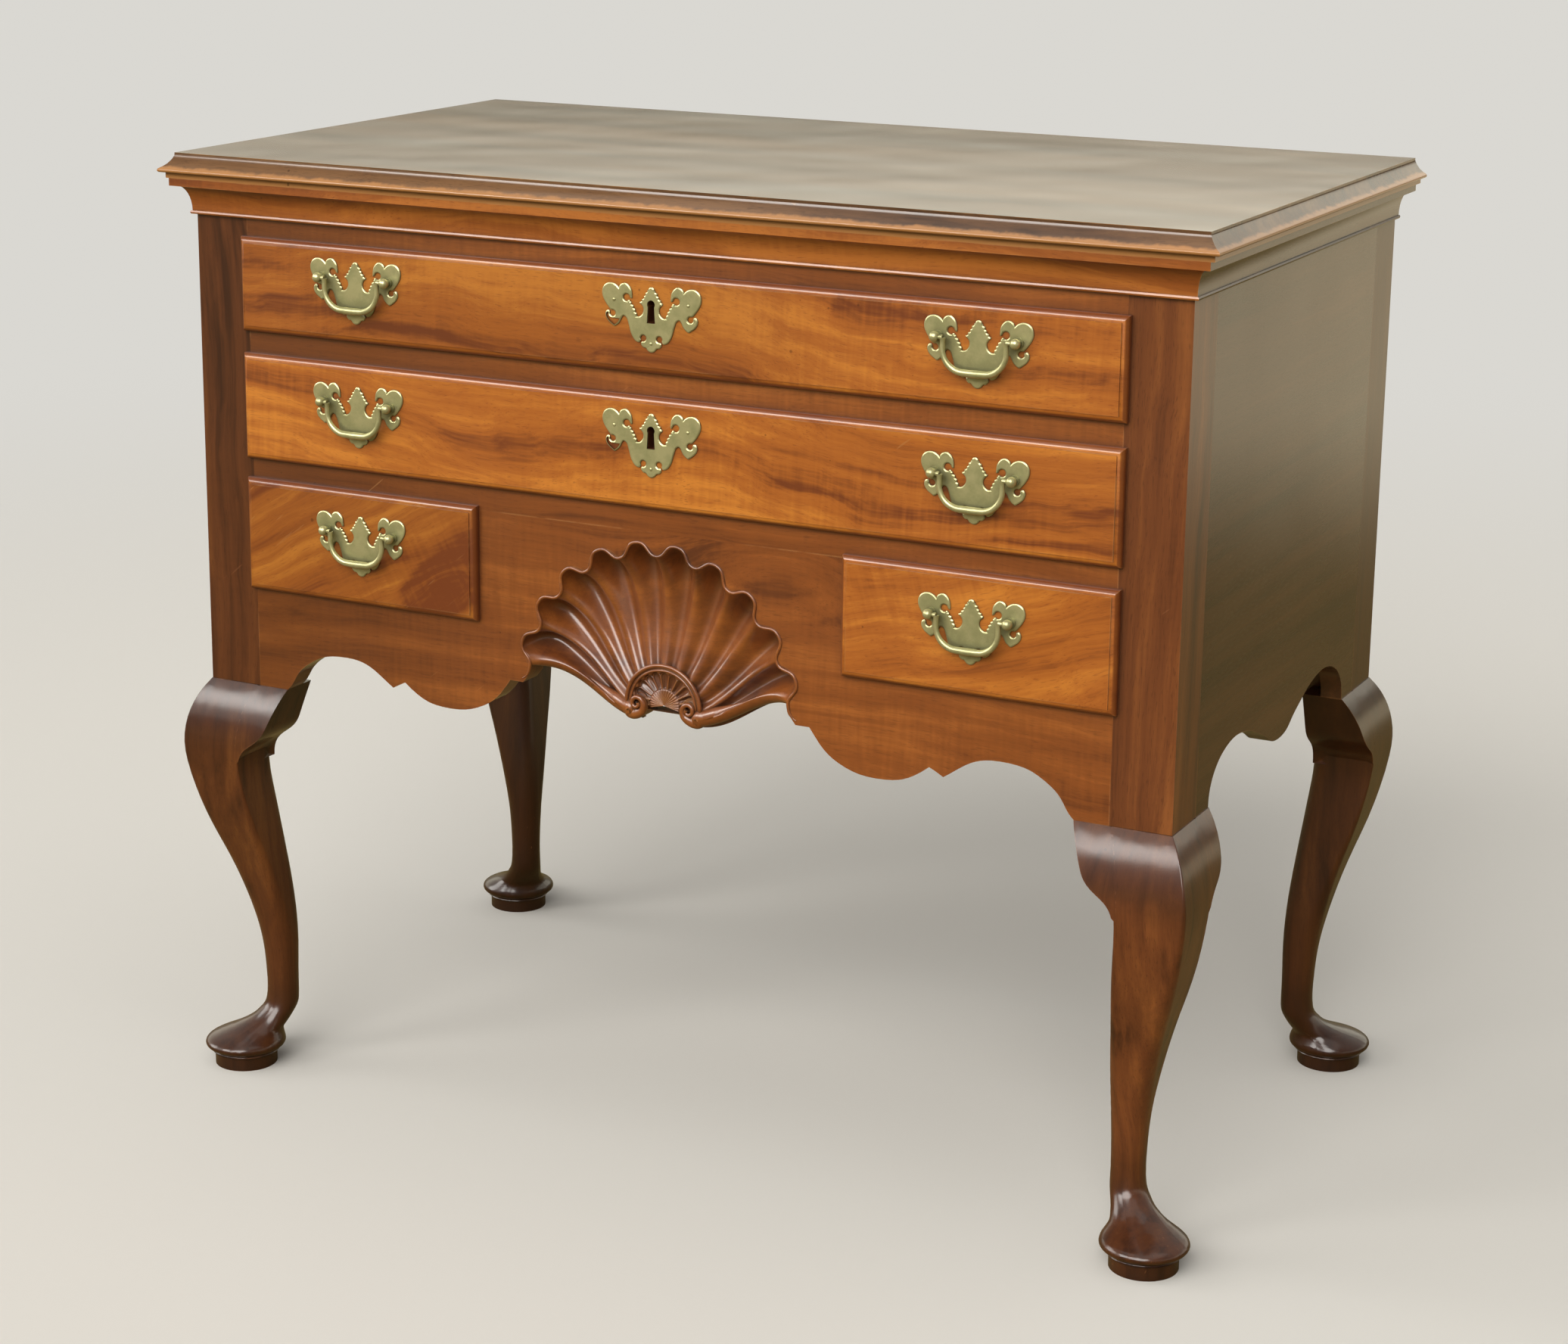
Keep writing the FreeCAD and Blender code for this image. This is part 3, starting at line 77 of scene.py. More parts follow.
class Tree:
    """A node tree with short calls that add nodes and join them."""

    def __init__(self, tree: bpy.types.NodeTree) -> None:
        """Wrap a tree.

        Args:
            tree: the shader or geometry node tree to work in.
        """
        self.tree = tree

    def put(self, socket: Socket, value: Value) -> None:
        """Give a socket its value, or join it to another socket.

        Args:
            socket: the input to fill.
            value: a number, a vector, a colour without its alpha, or another node's output.
        """
        three = isinstance(value, (tuple, list)) and len(value) == 3
        if isinstance(value, Socket):
            self.tree.links.new(value, socket)
        elif three and len(socket.default_value) == 4:
            socket.default_value = (*value, 1.0)
        else:
            socket.default_value = value

    def add(self, kind: str, inputs: Optional[dict[Any, Value]] = None, **settings: Any) -> Any:
        """Add a node.

        Args:
            kind: the node's type.
            inputs: socket name or number to value or socket.
            settings: the node's own properties.

        Returns:
            The new node.
        """
        node = self.tree.nodes.new(kind)
        for name, value in settings.items():
            setattr(node, name, value)
        for key, value in (inputs or {}).items():
            self.put(node.inputs[key], value)
        return node

    def math(self, operation: str, a: Value, b: Value = 0.0, clamp: bool = False) -> Socket:
        """Work out one number from two."""
        node = self.add("ShaderNodeMath", {0: a, 1: b}, operation=operation, use_clamp=clamp)
        return node.outputs[0]

    def vector(self, operation: str, a: Value, b: Value = (0.0, 0.0, 0.0)) -> Socket:
        """Work out one vector from two."""
        node = self.add("ShaderNodeVectorMath", {0: a, 1: b}, operation=operation)
        return node.outputs["Value" if operation in ("LENGTH", "DOT_PRODUCT") else "Vector"]

    def span(self, value: Value, low: float, high: float, start: Value = 0.0,
             end: Value = 1.0) -> Socket:
        """Map a number from low..high to start..end, smoothly and within its ends."""
        node = self.add("ShaderNodeMapRange", {"Value": value, "From Min": low, "From Max": high,
                                               "To Min": start, "To Max": end},
                        interpolation_type="SMOOTHSTEP")
        return node.outputs["Result"]

    def part(self, vector: Socket, axis: str) -> Socket:
        """One number of a vector: its X, Y or Z."""
        return self.add("ShaderNodeSeparateXYZ", {0: vector}).outputs[axis]

    def noise(self, vector: Socket, waves: Union[float, Point], detail: float = 2.0,
              roughness: float = 0.5) -> Socket:
        """A noise over the surface.

        Args:
            vector: the place looked at.
            waves: waves per metre, alike on all axes or one number for each.
            detail: number of finer layers.
            roughness: strength of the finer layers.

        Returns:
            The noise, from 0 to 1.
        """
        scale = waves if isinstance(waves, tuple) else (waves, waves, waves)
        scaled = self.vector("MULTIPLY", vector, scale)
        node = self.add("ShaderNodeTexNoise", {"Vector": scaled, "Scale": 1.0, "Detail": detail,
                                               "Roughness": roughness})
        return node.outputs["Fac"]

    def centred(self, value: Socket, size: Value) -> Socket:
        """Shift a number from 0..1 to around zero, then scale it."""
        return self.math("MULTIPLY", self.math("SUBTRACT", value, 0.5), size)

    def mix(self, share: Value, a: Value, b: Value) -> Socket:
        """Mix two colours."""
        node = self.add("ShaderNodeMix", {MIX_SHARE: share, MIX_A: a, MIX_B: b}, data_type="RGBA")
        return node.outputs[MIX_RESULT]


def shader_group(name: str, inputs: dict[str, tuple[str, Any]],
                 outputs: dict[str, str]) -> tuple[bpy.types.NodeTree, Tree, Any, Any]:
    """Start a shader node group.

    Args:
        name: the group's name.
        inputs: input name to its kind (Float, Vector or Color) and its value.
        outputs: output name to its kind.

    Returns:
        The group, its tree, its input node and its output node.
    """
    group = bpy.data.node_groups.new(name, "ShaderNodeTree")
    for key, (kind, value) in inputs.items():
        socket = group.interface.new_socket(key, in_out="INPUT", socket_type="NodeSocket" + kind)
        socket.default_value = (*value, 1.0) if kind == "Color" else value
    for key, kind in outputs.items():
        group.interface.new_socket(key, in_out="OUTPUT", socket_type="NodeSocket" + kind)
    tree = Tree(group)
    return group, tree, tree.add("NodeGroupInput"), tree.add("NodeGroupOutput")


def make_figure_group() -> bpy.types.NodeTree:
    """The figure of mahogany: bands, fine lines, pores, ripple and one eye.

    Returns:
        The group. Its vector has the grain along X, in metres.
    """
    group, t, into, out = shader_group(
        "mahogany_figure",
        {"Vector": ("Vector", (0.0, 0.0, 0.0)), "Warp": ("Float", 0.05), "Bands": ("Float", 14.0),
         "Contrast": ("Float", 1.0), "Ripple": ("Float", 0.2), "Eye": ("Vector", (0.0, 0.0, 0.0)),
         "Eye Size": ("Float", 0.001), "Eye Lift": ("Float", 0.0), "Eye Dark": ("Float", 0.0),
         "Light": ("Color", (0.5, 0.2, 0.05)), "Mid": ("Color", (0.3, 0.1, 0.03)),
         "Dark": ("Color", (0.1, 0.03, 0.01))},
        {"Color": "Color", "Height": "Float"})
    place = into.outputs["Vector"]
    # the grain wanders slowly and quickly, and bends round the eye
    eye_shape = (0.46, 1.0, 0.0)
    away = t.vector("MULTIPLY", t.vector("SUBTRACT", place, into.outputs["Eye"]), eye_shape)
    eye_share = t.math("DIVIDE", t.vector("LENGTH", away), into.outputs["Eye Size"])
    eye = t.span(eye_share, 1.0, 0.0)
    lift = t.math("MULTIPLY", eye, into.outputs["Eye Lift"])
    slow = t.centred(t.noise(place, (2.4, 4.5, 4.5), 1.0), into.outputs["Warp"])
    small_warp = t.math("MULTIPLY", into.outputs["Warp"], 0.22)
    quick = t.centred(t.noise(place, (11.0, 20.0, 20.0)), small_warp)
    shift = t.math("ADD", lift, t.math("ADD", slow, quick))
    across = t.add("ShaderNodeCombineXYZ", {"X": 0.0, "Y": shift, "Z": shift}).outputs[0]
    bent = t.vector("ADD", place, across)
    # the layers of the figure, from wide to fine
    wide = into.outputs["Bands"]
    banding = t.add("ShaderNodeCombineXYZ", {"X": 1.4, "Y": wide, "Z": wide}).outputs[0]
    band = t.noise(t.vector("MULTIPLY", bent, banding), 1.0, 4.0)
    ribbon = t.noise(bent, (3.0, 88.0, 88.0), 3.0, 0.6)
    line = t.noise(bent, (9.0, 420.0, 420.0), 2.0, 0.6)
    ripple = t.noise(place, (240.0, 26.0, 26.0), 1.0)
    cloud = t.noise(place, (3.2, 9.0, 9.0))
    patchy = t.span(cloud, 0.40, 0.62, 0.15, 1.0)
    pore = t.span(t.noise(bent, (110.0, 1500.0, 1500.0), 0.0), 0.62, 0.78)
    # one tone from 0 to 1 out of all of them
    tone = t.math("ADD", 0.5, t.math("MULTIPLY", t.centred(band, 2.0), into.outputs["Contrast"]))
    ribbons = t.math("MULTIPLY", t.centred(ribbon, 1.45), into.outputs["Contrast"])
    for layer in (ribbons, t.centred(line, 0.30), t.centred(cloud, 0.55)):
        tone = t.math("ADD", tone, layer)
    crossing = t.math("MULTIPLY", t.centred(ripple, 1.0), into.outputs["Ripple"])
    tone = t.math("ADD", tone, t.math("MULTIPLY", crossing, patchy))
    core = t.math("MULTIPLY", t.span(eye_share, 0.95, 0.70), into.outputs["Eye Dark"])
    tone = t.math("SUBTRACT", tone, core, clamp=True)
    # from the tone to a colour, with dark pores
    lower = t.mix(t.span(tone, 0.05, 0.50), into.outputs["Dark"], into.outputs["Mid"])
    colour = t.mix(t.span(tone, 0.44, 0.98), lower, into.outputs["Light"])
    colour = t.mix(t.math("MULTIPLY", pore, 0.38), colour, into.outputs["Dark"])
    height = t.math("SUBTRACT", t.math("MULTIPLY", line, 0.25), t.math("MULTIPLY", pore, 0.8))
    t.put(out.inputs["Color"], colour)
    t.put(out.inputs["Height"], height)
    return group


def make_handling_group() -> bpy.types.NodeTree:
    """What years of use leave: rubbed edges, scratches and chips, and soiling and painted shade in
    corners and recesses.

    Returns:
        The group. Its outputs go from 0 to 1.
    """
    group, t, into, out = shader_group(
        "handling", {"Vector": ("Vector", (0.0, 0.0, 0.0)), "Edge": ("Float", 0.0015)},
        dict.fromkeys(("Wear", "Grime And Shade", "Scratch", "Chips", "Wobble"), "Float"))
    place = into.outputs["Vector"]
    rounded = t.add("ShaderNodeBevel", {"Radius": into.outputs["Edge"]}, samples=4)
    flat = t.add("ShaderNodeNewGeometry").outputs["Normal"]
    alike = t.vector("DOT_PRODUCT", rounded.outputs["Normal"], flat)
    edge = t.span(alike, 0.97, 0.80)
    patch = t.span(t.noise(place, 22.0, 4.0, 0.65), 0.46, 0.62)
    # ambient occlusion: soiling and painted shade in corners and recesses
    dirt_and_shade = t.add("ShaderNodeAmbientOcclusion", {"Distance": 0.014}, samples=6)
    grime_and_shade = t.span(dirt_and_shade.outputs["AO"], 0.92, 0.30)
    turned = t.add("ShaderNodeMapping", {"Vector": place, "Rotation": (0.35, 0.6, 0.25)})
    hair = t.span(t.noise(turned.outputs[0], (9.0, 620.0, 240.0), 1.0), 0.745, 0.79)
    few = t.span(t.noise(place, 7.0, 1.0), 0.52, 0.62)
    speck = t.add("ShaderNodeTexVoronoi", {"Vector": place, "Scale": 46.0})
    chip_size = t.span(t.noise(place, 5.0, 1.0), 0.45, 0.75, 0.0, 0.075)
    marks = {"Wear": t.math("MULTIPLY", edge, patch), "Grime And Shade": grime_and_shade,
             "Scratch": t.math("MULTIPLY", hair, few),
             "Chips": t.math("LESS_THAN", speck.outputs["Distance"], chip_size),
             "Wobble": t.noise(place, 9.0, 1.0)}
    for name, mark in marks.items():
        t.put(out.inputs[name], mark)
    return group


FIGURE = make_figure_group()
HANDLING = make_handling_group()

GRAIN_TURN = {
    Along.ACROSS: (0.0, 0.0, 0.0),
    Along.DEEP: (0.0, 0.0, -math.pi / 2),
    Along.UPRIGHT: (0.0, math.pi / 2, 0.0),
}


def blank_material(name: str) -> tuple[bpy.types.Material, Tree]:
    """Start a material.

    Args:
        name: the material's name.

    Returns:
        The material and its empty tree.
    """
    material = bpy.data.materials.new(name)
    material.use_nodes = True
    material.node_tree.nodes.clear()
    return material, Tree(material.node_tree)


def marked(t: Tree, used: Any, colour: Socket,
           marks: Iterable[tuple[str, float, Colour]]) -> Socket:
    """Mix the marks of use, with the painted shade in recesses, into a colour.

    Args:
        t: the material's tree.
        used: the node of the handling group.
        colour: the clean colour.
        marks: for each mark its output in the group, its strength and its colour.

    Returns:
        The marked colour.
    """
    for mask, strength, tint in marks:
        colour = t.mix(t.math("MULTIPLY", used.outputs[mask], strength), colour, tint)
    return colour


@dataclass(frozen=True)
class Eye:
    """An eye or swirl in the figure: its middle, size and bend in metres, and how dark it is."""

    x: float = 0.0
    z: float = 0.0
    size: float = 0.001
    lift: float = 0.0
    dark: float = 0.0


@dataclass(frozen=True)
class Smoke:
    """Darkening that grows from one height to another and stops at a third, in metres."""

    clear: float
    full: float
    stop: float


@dataclass(frozen=True)
class PaintedShade:
    """Painted shade along one axis: full at one place and gone at another, in metres."""

    axis: str
    full: float
    clear: float
    most: float


@dataclass(frozen=True)
class Wood:
    """A finish of polished or bare wood.

    The colours are the wood's own, as they look under white light; the painted shade along an axis,
    on turned edges and in recesses darkens them.
    """

    light: Colour
    mid: Colour
    dark: Colour
    worn: Colour = (0.42, 0.20, 0.07)

    # the figure: bands across a metre, how far they wander, their contrast and their ripple
    bands: float = 14.0
    warp: float = 0.07
    contrast: float = 1.0
    ripple: float = 0.22

    # the surface and its polish
    rough: float = 0.42
    rough_spread: float = 0.16
    rough_grime: float = 0.3
    surface: float = 0.3
    polish: float = 0.8
    gloss: float = 0.14
    wave: float = 0.35
    wave_height: float = 1.2 * MM
    pores: float = 0.25
    pore_depth: float = 0.2 * MM

    # the marks of use, with soiling and painted shade in corners and recesses
    wear: float = 0.6
    grime_and_shade: float = 0.75
    scratch: float = 0.35
    chips: float = 0.5
    dirt_and_shade: float = 0.35

    # darkening by smoke; painted shade along an axis and where the board turns away; and a rubbed
    # height
    smoke: tuple[Smoke, ...] = ()
    smoke_most: float = 0.60
    painted_shades: tuple[PaintedShade, ...] = ()
    edge: float = 0.0
    edge_shade_turn: tuple[float, float] = (0.80, 0.985)
    rubbed: Optional[tuple[float, float]] = None
    rubbed_most: float = 0.85

    def figured(self, t: Tree, place: Socket, along: Along, shift: Point, eye: Eye,
                tilt: float) -> Any:
        """Lay the wood's figure on one board.

        Args:
            t: the material's tree.
            place: the place on the piece.
            along: which way the grain runs.
            shift: where in the wood this board was cut, in metres.
            eye: the board's eye or swirl.
            tilt: how far the grain runs off the board's length, in radians.

        Returns:
            The node of the figure group.
        """
        turned = t.add("ShaderNodeMapping", {"Vector": place, "Rotation": GRAIN_TURN[along]})
        cut = t.add("ShaderNodeMapping", {"Vector": turned.outputs[0], "Location": shift,
                                          "Rotation": (math.pi / 2, 0.0, tilt)})
        over, up = math.cos(tilt), math.sin(tilt)
        eye_place = (eye.x * over + eye.z * up + shift[0],
                     eye.x * up - eye.z * over + shift[1], 0.0)
        return t.add("ShaderNodeGroup", {
            "Vector": cut.outputs[0], "Warp": self.warp, "Bands": self.bands,
            "Contrast": self.contrast, "Ripple": self.ripple, "Eye": eye_place,
            "Eye Size": eye.size, "Eye Lift": eye.lift, "Eye Dark": eye.dark,
            "Light": self.light, "Mid": self.mid, "Dark": self.dark}, node_tree=FIGURE)

    def shaded(self, t: Tree, place: Socket, colour: Socket, dirt_and_shade: Colour) -> Socket:
        """Darken the figure by smoke and by painted shade along its axes and where the board turns
        away, and rub it.

        Args:
            t: the material's tree.
            place: the place on the piece.
            colour: the figure's colour.
            dirt_and_shade: the colour of smoke and of the painted shade.

        Returns:
            The shaded colour.
        """
        level = t.part(place, "Z")
        if self.smoke:
            height = t.math("ADD", level, t.centred(t.noise(place, 17.0, 4.0, 0.6), 0.11))
            for smoke in self.smoke:
                share = t.span(height, smoke.clear, smoke.full, 0.0, self.smoke_most)
                share = t.math("MULTIPLY", share, t.math("LESS_THAN", level, smoke.stop))
                colour = t.mix(share, colour, dirt_and_shade)
        # painted shade, darker towards one end along an axis
        for fade in self.painted_shades:
            share = t.span(t.part(place, fade.axis), fade.full, fade.clear, fade.most, 0.0)
            colour = t.mix(share, colour, dirt_and_shade)
        # painted shade where the board turns away from the front, as on the lips
        if self.edge:
            normal = t.add("ShaderNodeTexCoord").outputs["Normal"]
            facing = t.math("ABSOLUTE", t.part(normal, "Y"))
            colour = t.mix(t.span(facing, *self.edge_shade_turn, self.edge, 0.0), colour, self.dark)
        if self.rubbed:
            patch = t.centred(t.noise(place, 60.0, 4.0, 0.65), 0.006)
            share = t.span(t.math("ADD", level, patch), *self.rubbed, self.rubbed_most, 0.0)
            colour = t.mix(share, colour, self.worn)
        return colour

    def material(self, name: str, along: Along, shift: Point, eye: Eye = Eye(),
                 tilt: float = 0.0) -> bpy.types.Material:
        """Make the material of one board.

        Args:
            name: the material's name.
            along: which way the grain runs.
            shift: where in the wood this board was cut, in metres.
            eye: the board's eye or swirl.
            tilt: how far the grain runs off the board's length, in radians.

        Returns:
            The material.
        """
        material, t = blank_material(name)
        place = t.add("ShaderNodeTexCoord").outputs["Object"]
        figure = self.figured(t, place, along, shift, eye, tilt)
        used = t.add("ShaderNodeGroup", {"Vector": place}, node_tree=HANDLING)
        # the dark colour of soiling, smoke and painted shade
        dirt_and_shade = tuple(c * self.dirt_and_shade for c in self.dark)
        colour = self.shaded(t, place, figure.outputs["Color"], dirt_and_shade)
        # soiling and painted shade in corners and recesses, then wear, scratches and chips
        colour = marked(t, used, colour, (("Grime And Shade", self.grime_and_shade, dirt_and_shade),
                                          ("Wear", self.wear, self.worn),
                                          ("Scratch", self.scratch, self.worn),
                                          ("Chips", self.chips, dirt_and_shade)))
        grimy = t.math("MULTIPLY", used.outputs["Grime And Shade"], self.rough_grime)
        rough = t.math("ADD", self.rough, t.centred(used.outputs["Wobble"], self.rough_spread))
        rough = t.math("ADD", rough, grimy, clamp=True)
        wave = t.add("ShaderNodeBump", {"Height": used.outputs["Wobble"], "Strength": self.wave,
                                        "Distance": self.wave_height})
        grain = t.add("ShaderNodeBump", {"Height": figure.outputs["Height"], "Strength": self.pores,
                                         "Distance": self.pore_depth, "Normal": wave.outputs[0]})
        shader = t.add("ShaderNodeBsdfPrincipled", {
            "Base Color": colour, "Roughness": rough, "Normal": grain.outputs[0],
            "Coat Weight": self.polish, "Coat Roughness": self.gloss,
            "Coat Normal": wave.outputs[0], "Specular IOR Level": self.surface})
        t.add("ShaderNodeOutputMaterial", {"Surface": shader.outputs[0]})
        return material


@dataclass(frozen=True)
class Metal:
    """A finish of cast or wrought metal, gone dull with age."""

    name: str
    bright: Colour
    dull: Colour
    rough: float = 0.38
    rough_spread: float = 0.3
    shine: float = 0.75
    cast: float = 0.10
    cast_depth: float = 0.3 * MM
    rubbed_edge: float = 0.8 * MM
    wear: float = 0.6
    grime_and_shade: float = 0.8
    scratch: float = 0.5
    dirt_and_shade: float = 0.25

    def material(self) -> bpy.types.Material:
        """Make the material.

        Returns:
            The material.
        """
        material, t = blank_material(self.name)
        place = t.add("ShaderNodeTexCoord").outputs["Object"]
        used = t.add("ShaderNodeGroup", {"Vector": place, "Edge": self.rubbed_edge},
                     node_tree=HANDLING)
        cloud = t.noise(place, 60.0, 4.0, 0.6)
        fine = t.noise(place, 700.0)
        # tarnish gathers in the recesses; the occlusion mark also darkens them as soiling and
        # painted shade
        tarnish = t.math("ADD", t.span(cloud, 0.35, 0.70), used.outputs["Grime And Shade"], clamp=True)
        dirt_and_shade = tuple(c * self.dirt_and_shade for c in self.dull)
        colour = marked(t, used, t.mix(tarnish, self.bright, self.dull),
                        (("Wear", self.wear, self.bright), ("Grime And Shade", self.grime_and_shade, dirt_and_shade),
                         ("Scratch", self.scratch, dirt_and_shade)))
        rough = t.math("ADD", self.rough, t.centred(cloud, self.rough_spread), clamp=True)
        bump = t.add("ShaderNodeBump", {"Height": fine, "Strength": self.cast,
                                        "Distance": self.cast_depth})
        shader = t.add("ShaderNodeBsdfPrincipled", {
            "Base Color": colour, "Roughness": rough, "Metallic": self.shine,
            "Normal": bump.outputs[0]})
        t.add("ShaderNodeOutputMaterial", {"Surface": shader.outputs[0]})
        return material


# the drawer fronts; edge paints shade on the lips where they turn away from the front
FRONT_WOOD = Wood(light=(0.56, 0.196, 0.026), mid=(0.365, 0.104, 0.013),
                  dark=(0.150, 0.033, 0.006), bands=24.0, warp=0.10, ripple=0.34, contrast=0.80,
                  polish=0.9, gloss=0.12, edge=0.8)
# the rails, the apron and, with more gloss, the shell: painted shade darkens them towards the left
APRON_WOOD = Wood(light=(0.34, 0.103, 0.018), mid=(0.215, 0.058, 0.010),
                  dark=(0.095, 0.023, 0.005), bands=34.0, warp=0.05, ripple=0.35, contrast=0.65,
                  polish=1.0, gloss=0.10, painted_shades=(PaintedShade("X", full=-0.40, clear=0.0, most=0.42),))
CORNICE_WOOD = replace(FRONT_WOOD, edge=0.0, light=(0.42, 0.135, 0.022),
                       mid=(0.265, 0.072, 0.011))
SHELL_WOOD = replace(APRON_WOOD, gloss=0.19, surface=0.45)
# the legs, darker by smoke at the feet and knee tops; painted shade darkens them to the left and
# towards the back
LEG_WOOD = Wood(light=(0.245, 0.080, 0.020), mid=(0.140, 0.041, 0.012),
                dark=(0.050, 0.014, 0.005), bands=52.0, warp=0.05, ripple=0.10, contrast=0.7,
                polish=0.75, gloss=0.17, worn=(0.26, 0.10, 0.04), surface=0.2,
                smoke=(Smoke(clear=0.115, full=0.040, stop=1.0),
                       Smoke(clear=0.268, full=0.325, stop=0.3525)),
                painted_shades=(PaintedShade("X", full=-0.42, clear=-0.20, most=0.36),
                       PaintedShade("Y", full=0.20, clear=-0.10, most=0.62)))
TOP_WOOD = Wood(light=(0.165, 0.082, 0.034), mid=(0.100, 0.047, 0.020),
                dark=(0.045, 0.021, 0.010), bands=18.0, warp=0.05, ripple=0.05, polish=1.0,
                gloss=0.11, worn=(0.42, 0.19, 0.06), wear=0.8, surface=0.05,
                rubbed=(0.7878, 0.7902))
SIDE_WOOD = Wood(light=(0.105, 0.038, 0.014), mid=(0.060, 0.021, 0.008),
                 dark=(0.024, 0.009, 0.004), bands=34.0, warp=0.03, ripple=0.06, polish=1.0,
                 gloss=0.14, surface=0.08, contrast=0.65)
PINE = Wood(light=(0.52, 0.36, 0.19), mid=(0.42, 0.27, 0.13), dark=(0.22, 0.13, 0.06),
            bands=60.0, warp=0.03, ripple=0.0, polish=0.0, rough=0.7, wear=0.2, contrast=0.7,
            pores=0.5)
AGED_BRASS = Metal("aged_brass", bright=(0.53, 0.505, 0.265), dull=(0.37, 0.36, 0.175),
                   rough=0.36, shine=0.62)
LOCK_IRON = Metal("lock_iron", bright=(0.22, 0.20, 0.18), dull=(0.09, 0.07, 0.05), rough=0.55)


# ---- Meshes --------------------------------------------------------------------------------------

def show(piece: bpy.types.Object, body: str, slot: str, *nodes: str) -> bpy.types.Object:
    """Hand a finished piece to the frame.

    Args:
        piece: the piece, its object at the origin.
        body: the body it moves with.
        slot: not used.
        nodes: the CAD nodes it stands for.

    Returns:
        The same piece.
    """
    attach(piece, body)
    if nodes:
        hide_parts(*nodes)
    LOG.info("%s rides on %s, %d faces", piece.name, body, len(piece.data.polygons))
    return piece


def new_piece(name: str, mesh: bpy.types.Mesh, material: bpy.types.Material) -> bpy.types.Object:
    """Put a mesh in the scene with one material.

    Args:
        name: the piece's name.
        mesh: its mesh.
        material: its material.

    Returns:
        The piece, its object at the origin.
    """
    mesh.materials.clear()
    mesh.materials.append(material)
    piece = bpy.data.objects.new(name, mesh)
    bpy.context.scene.collection.objects.link(piece)
    return piece


def merged_mesh(node: str, name: str) -> bpy.types.Mesh:
    """Copy a CAD node's mesh and join its loose triangles.

    Args:
        node: the CAD node.
        name: the new mesh's name.

    Returns:
        The copy.
    """
    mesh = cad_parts[node].data.copy()
    mesh.name = name
    if "custom_normal" in mesh.attributes:
        mesh.attributes.remove(mesh.attributes["custom_normal"])
    work = bmesh.new()
    work.from_mesh(mesh)
    bmesh.ops.remove_doubles(work, verts=work.verts, dist=0.004 * MM)
    work.to_mesh(mesh)
    work.free()
    return mesh


def evaluated(piece: bpy.types.Object) -> bpy.types.Mesh:
    """Work a piece's modifiers into a mesh and take them off.

    Args:
        piece: the piece.

    Returns:
        The new mesh, not yet the piece's own.
    """
    graph = bpy.context.evaluated_depsgraph_get()
    mesh = bpy.data.meshes.new_from_object(piece.evaluated_get(graph), depsgraph=graph)
    mesh.name = piece.name
    piece.modifiers.clear()
    return mesh


def smooth_over(piece: bpy.types.Object, sharp: float) -> None:
    """Shade a piece smoothly over its curves and keep its flats flat.

    Args:
        piece: the piece, with no modifiers.
        sharp: edges that turn by more than this many degrees stay crisp.
    """
    piece.data.shade_smooth()
    piece.data.set_sharp_from_angle(angle=math.radians(sharp))
    even = piece.modifiers.new("even", "WEIGHTED_NORMAL")
    even.mode = "FACE_AREA"
    even.weight = 90
    even.keep_sharp = True
    piece.data = evaluated(piece)


def finished_copy(node: str, name: str, material: bpy.types.Material, body: str, slot: str,
                  sharp: float = 32.0,
                  fit: Optional[Callable[[bpy.types.Mesh], None]] = None) -> bpy.types.Object:
    """Stand for a CAD node with a copy that shades smoothly over its curves.

    Args:
        node: the CAD node.
        name: the new piece's name.
        material: its material.
        body: the body it rides on.
        slot: not used.
        sharp: edges that turn by more than this many degrees stay crisp.
        fit: a last change to the merged mesh.

    Returns:
        The piece.
    """
    mesh = merged_mesh(node, name)
    if fit is not None:
        fit(mesh)
    piece = new_piece(name, mesh, material)
    smooth_over(piece, sharp)
    return show(piece, body, slot, node)


def grid_mesh(name: str, points: np.ndarray) -> bpy.types.Mesh:
    """A sheet of quads.

    Args:
        name: the mesh's name.
        points: rows by columns by three, in metres.

    Returns:
        The mesh, shaded smooth.
    """
    rows, columns = points.shape[:2]
    index = np.arange(rows * columns).reshape(rows, columns)
    quads = np.stack([index[:-1, :-1], index[:-1, 1:], index[1:, 1:], index[1:, :-1]], axis=-1)
    mesh = bpy.data.meshes.new(name)
    mesh.from_pydata(points.reshape(-1, 3).tolist(), [], quads.reshape(-1, 4).tolist())
    mesh.shade_smooth()
    return mesh


def joined(name: str, meshes: Iterable[bpy.types.Mesh],
           material: bpy.types.Material) -> bpy.types.Object:
    """Put several meshes into one piece.

    Args:
        name: the piece's name.
        meshes: its parts.
        material: its material.

    Returns:
        The piece.
    """
    work = bmesh.new()
    for mesh in meshes:
        work.from_mesh(mesh)
    whole = bpy.data.meshes.new(name)
    work.to_mesh(whole)
    work.free()
    return new_piece(name, whole, material)


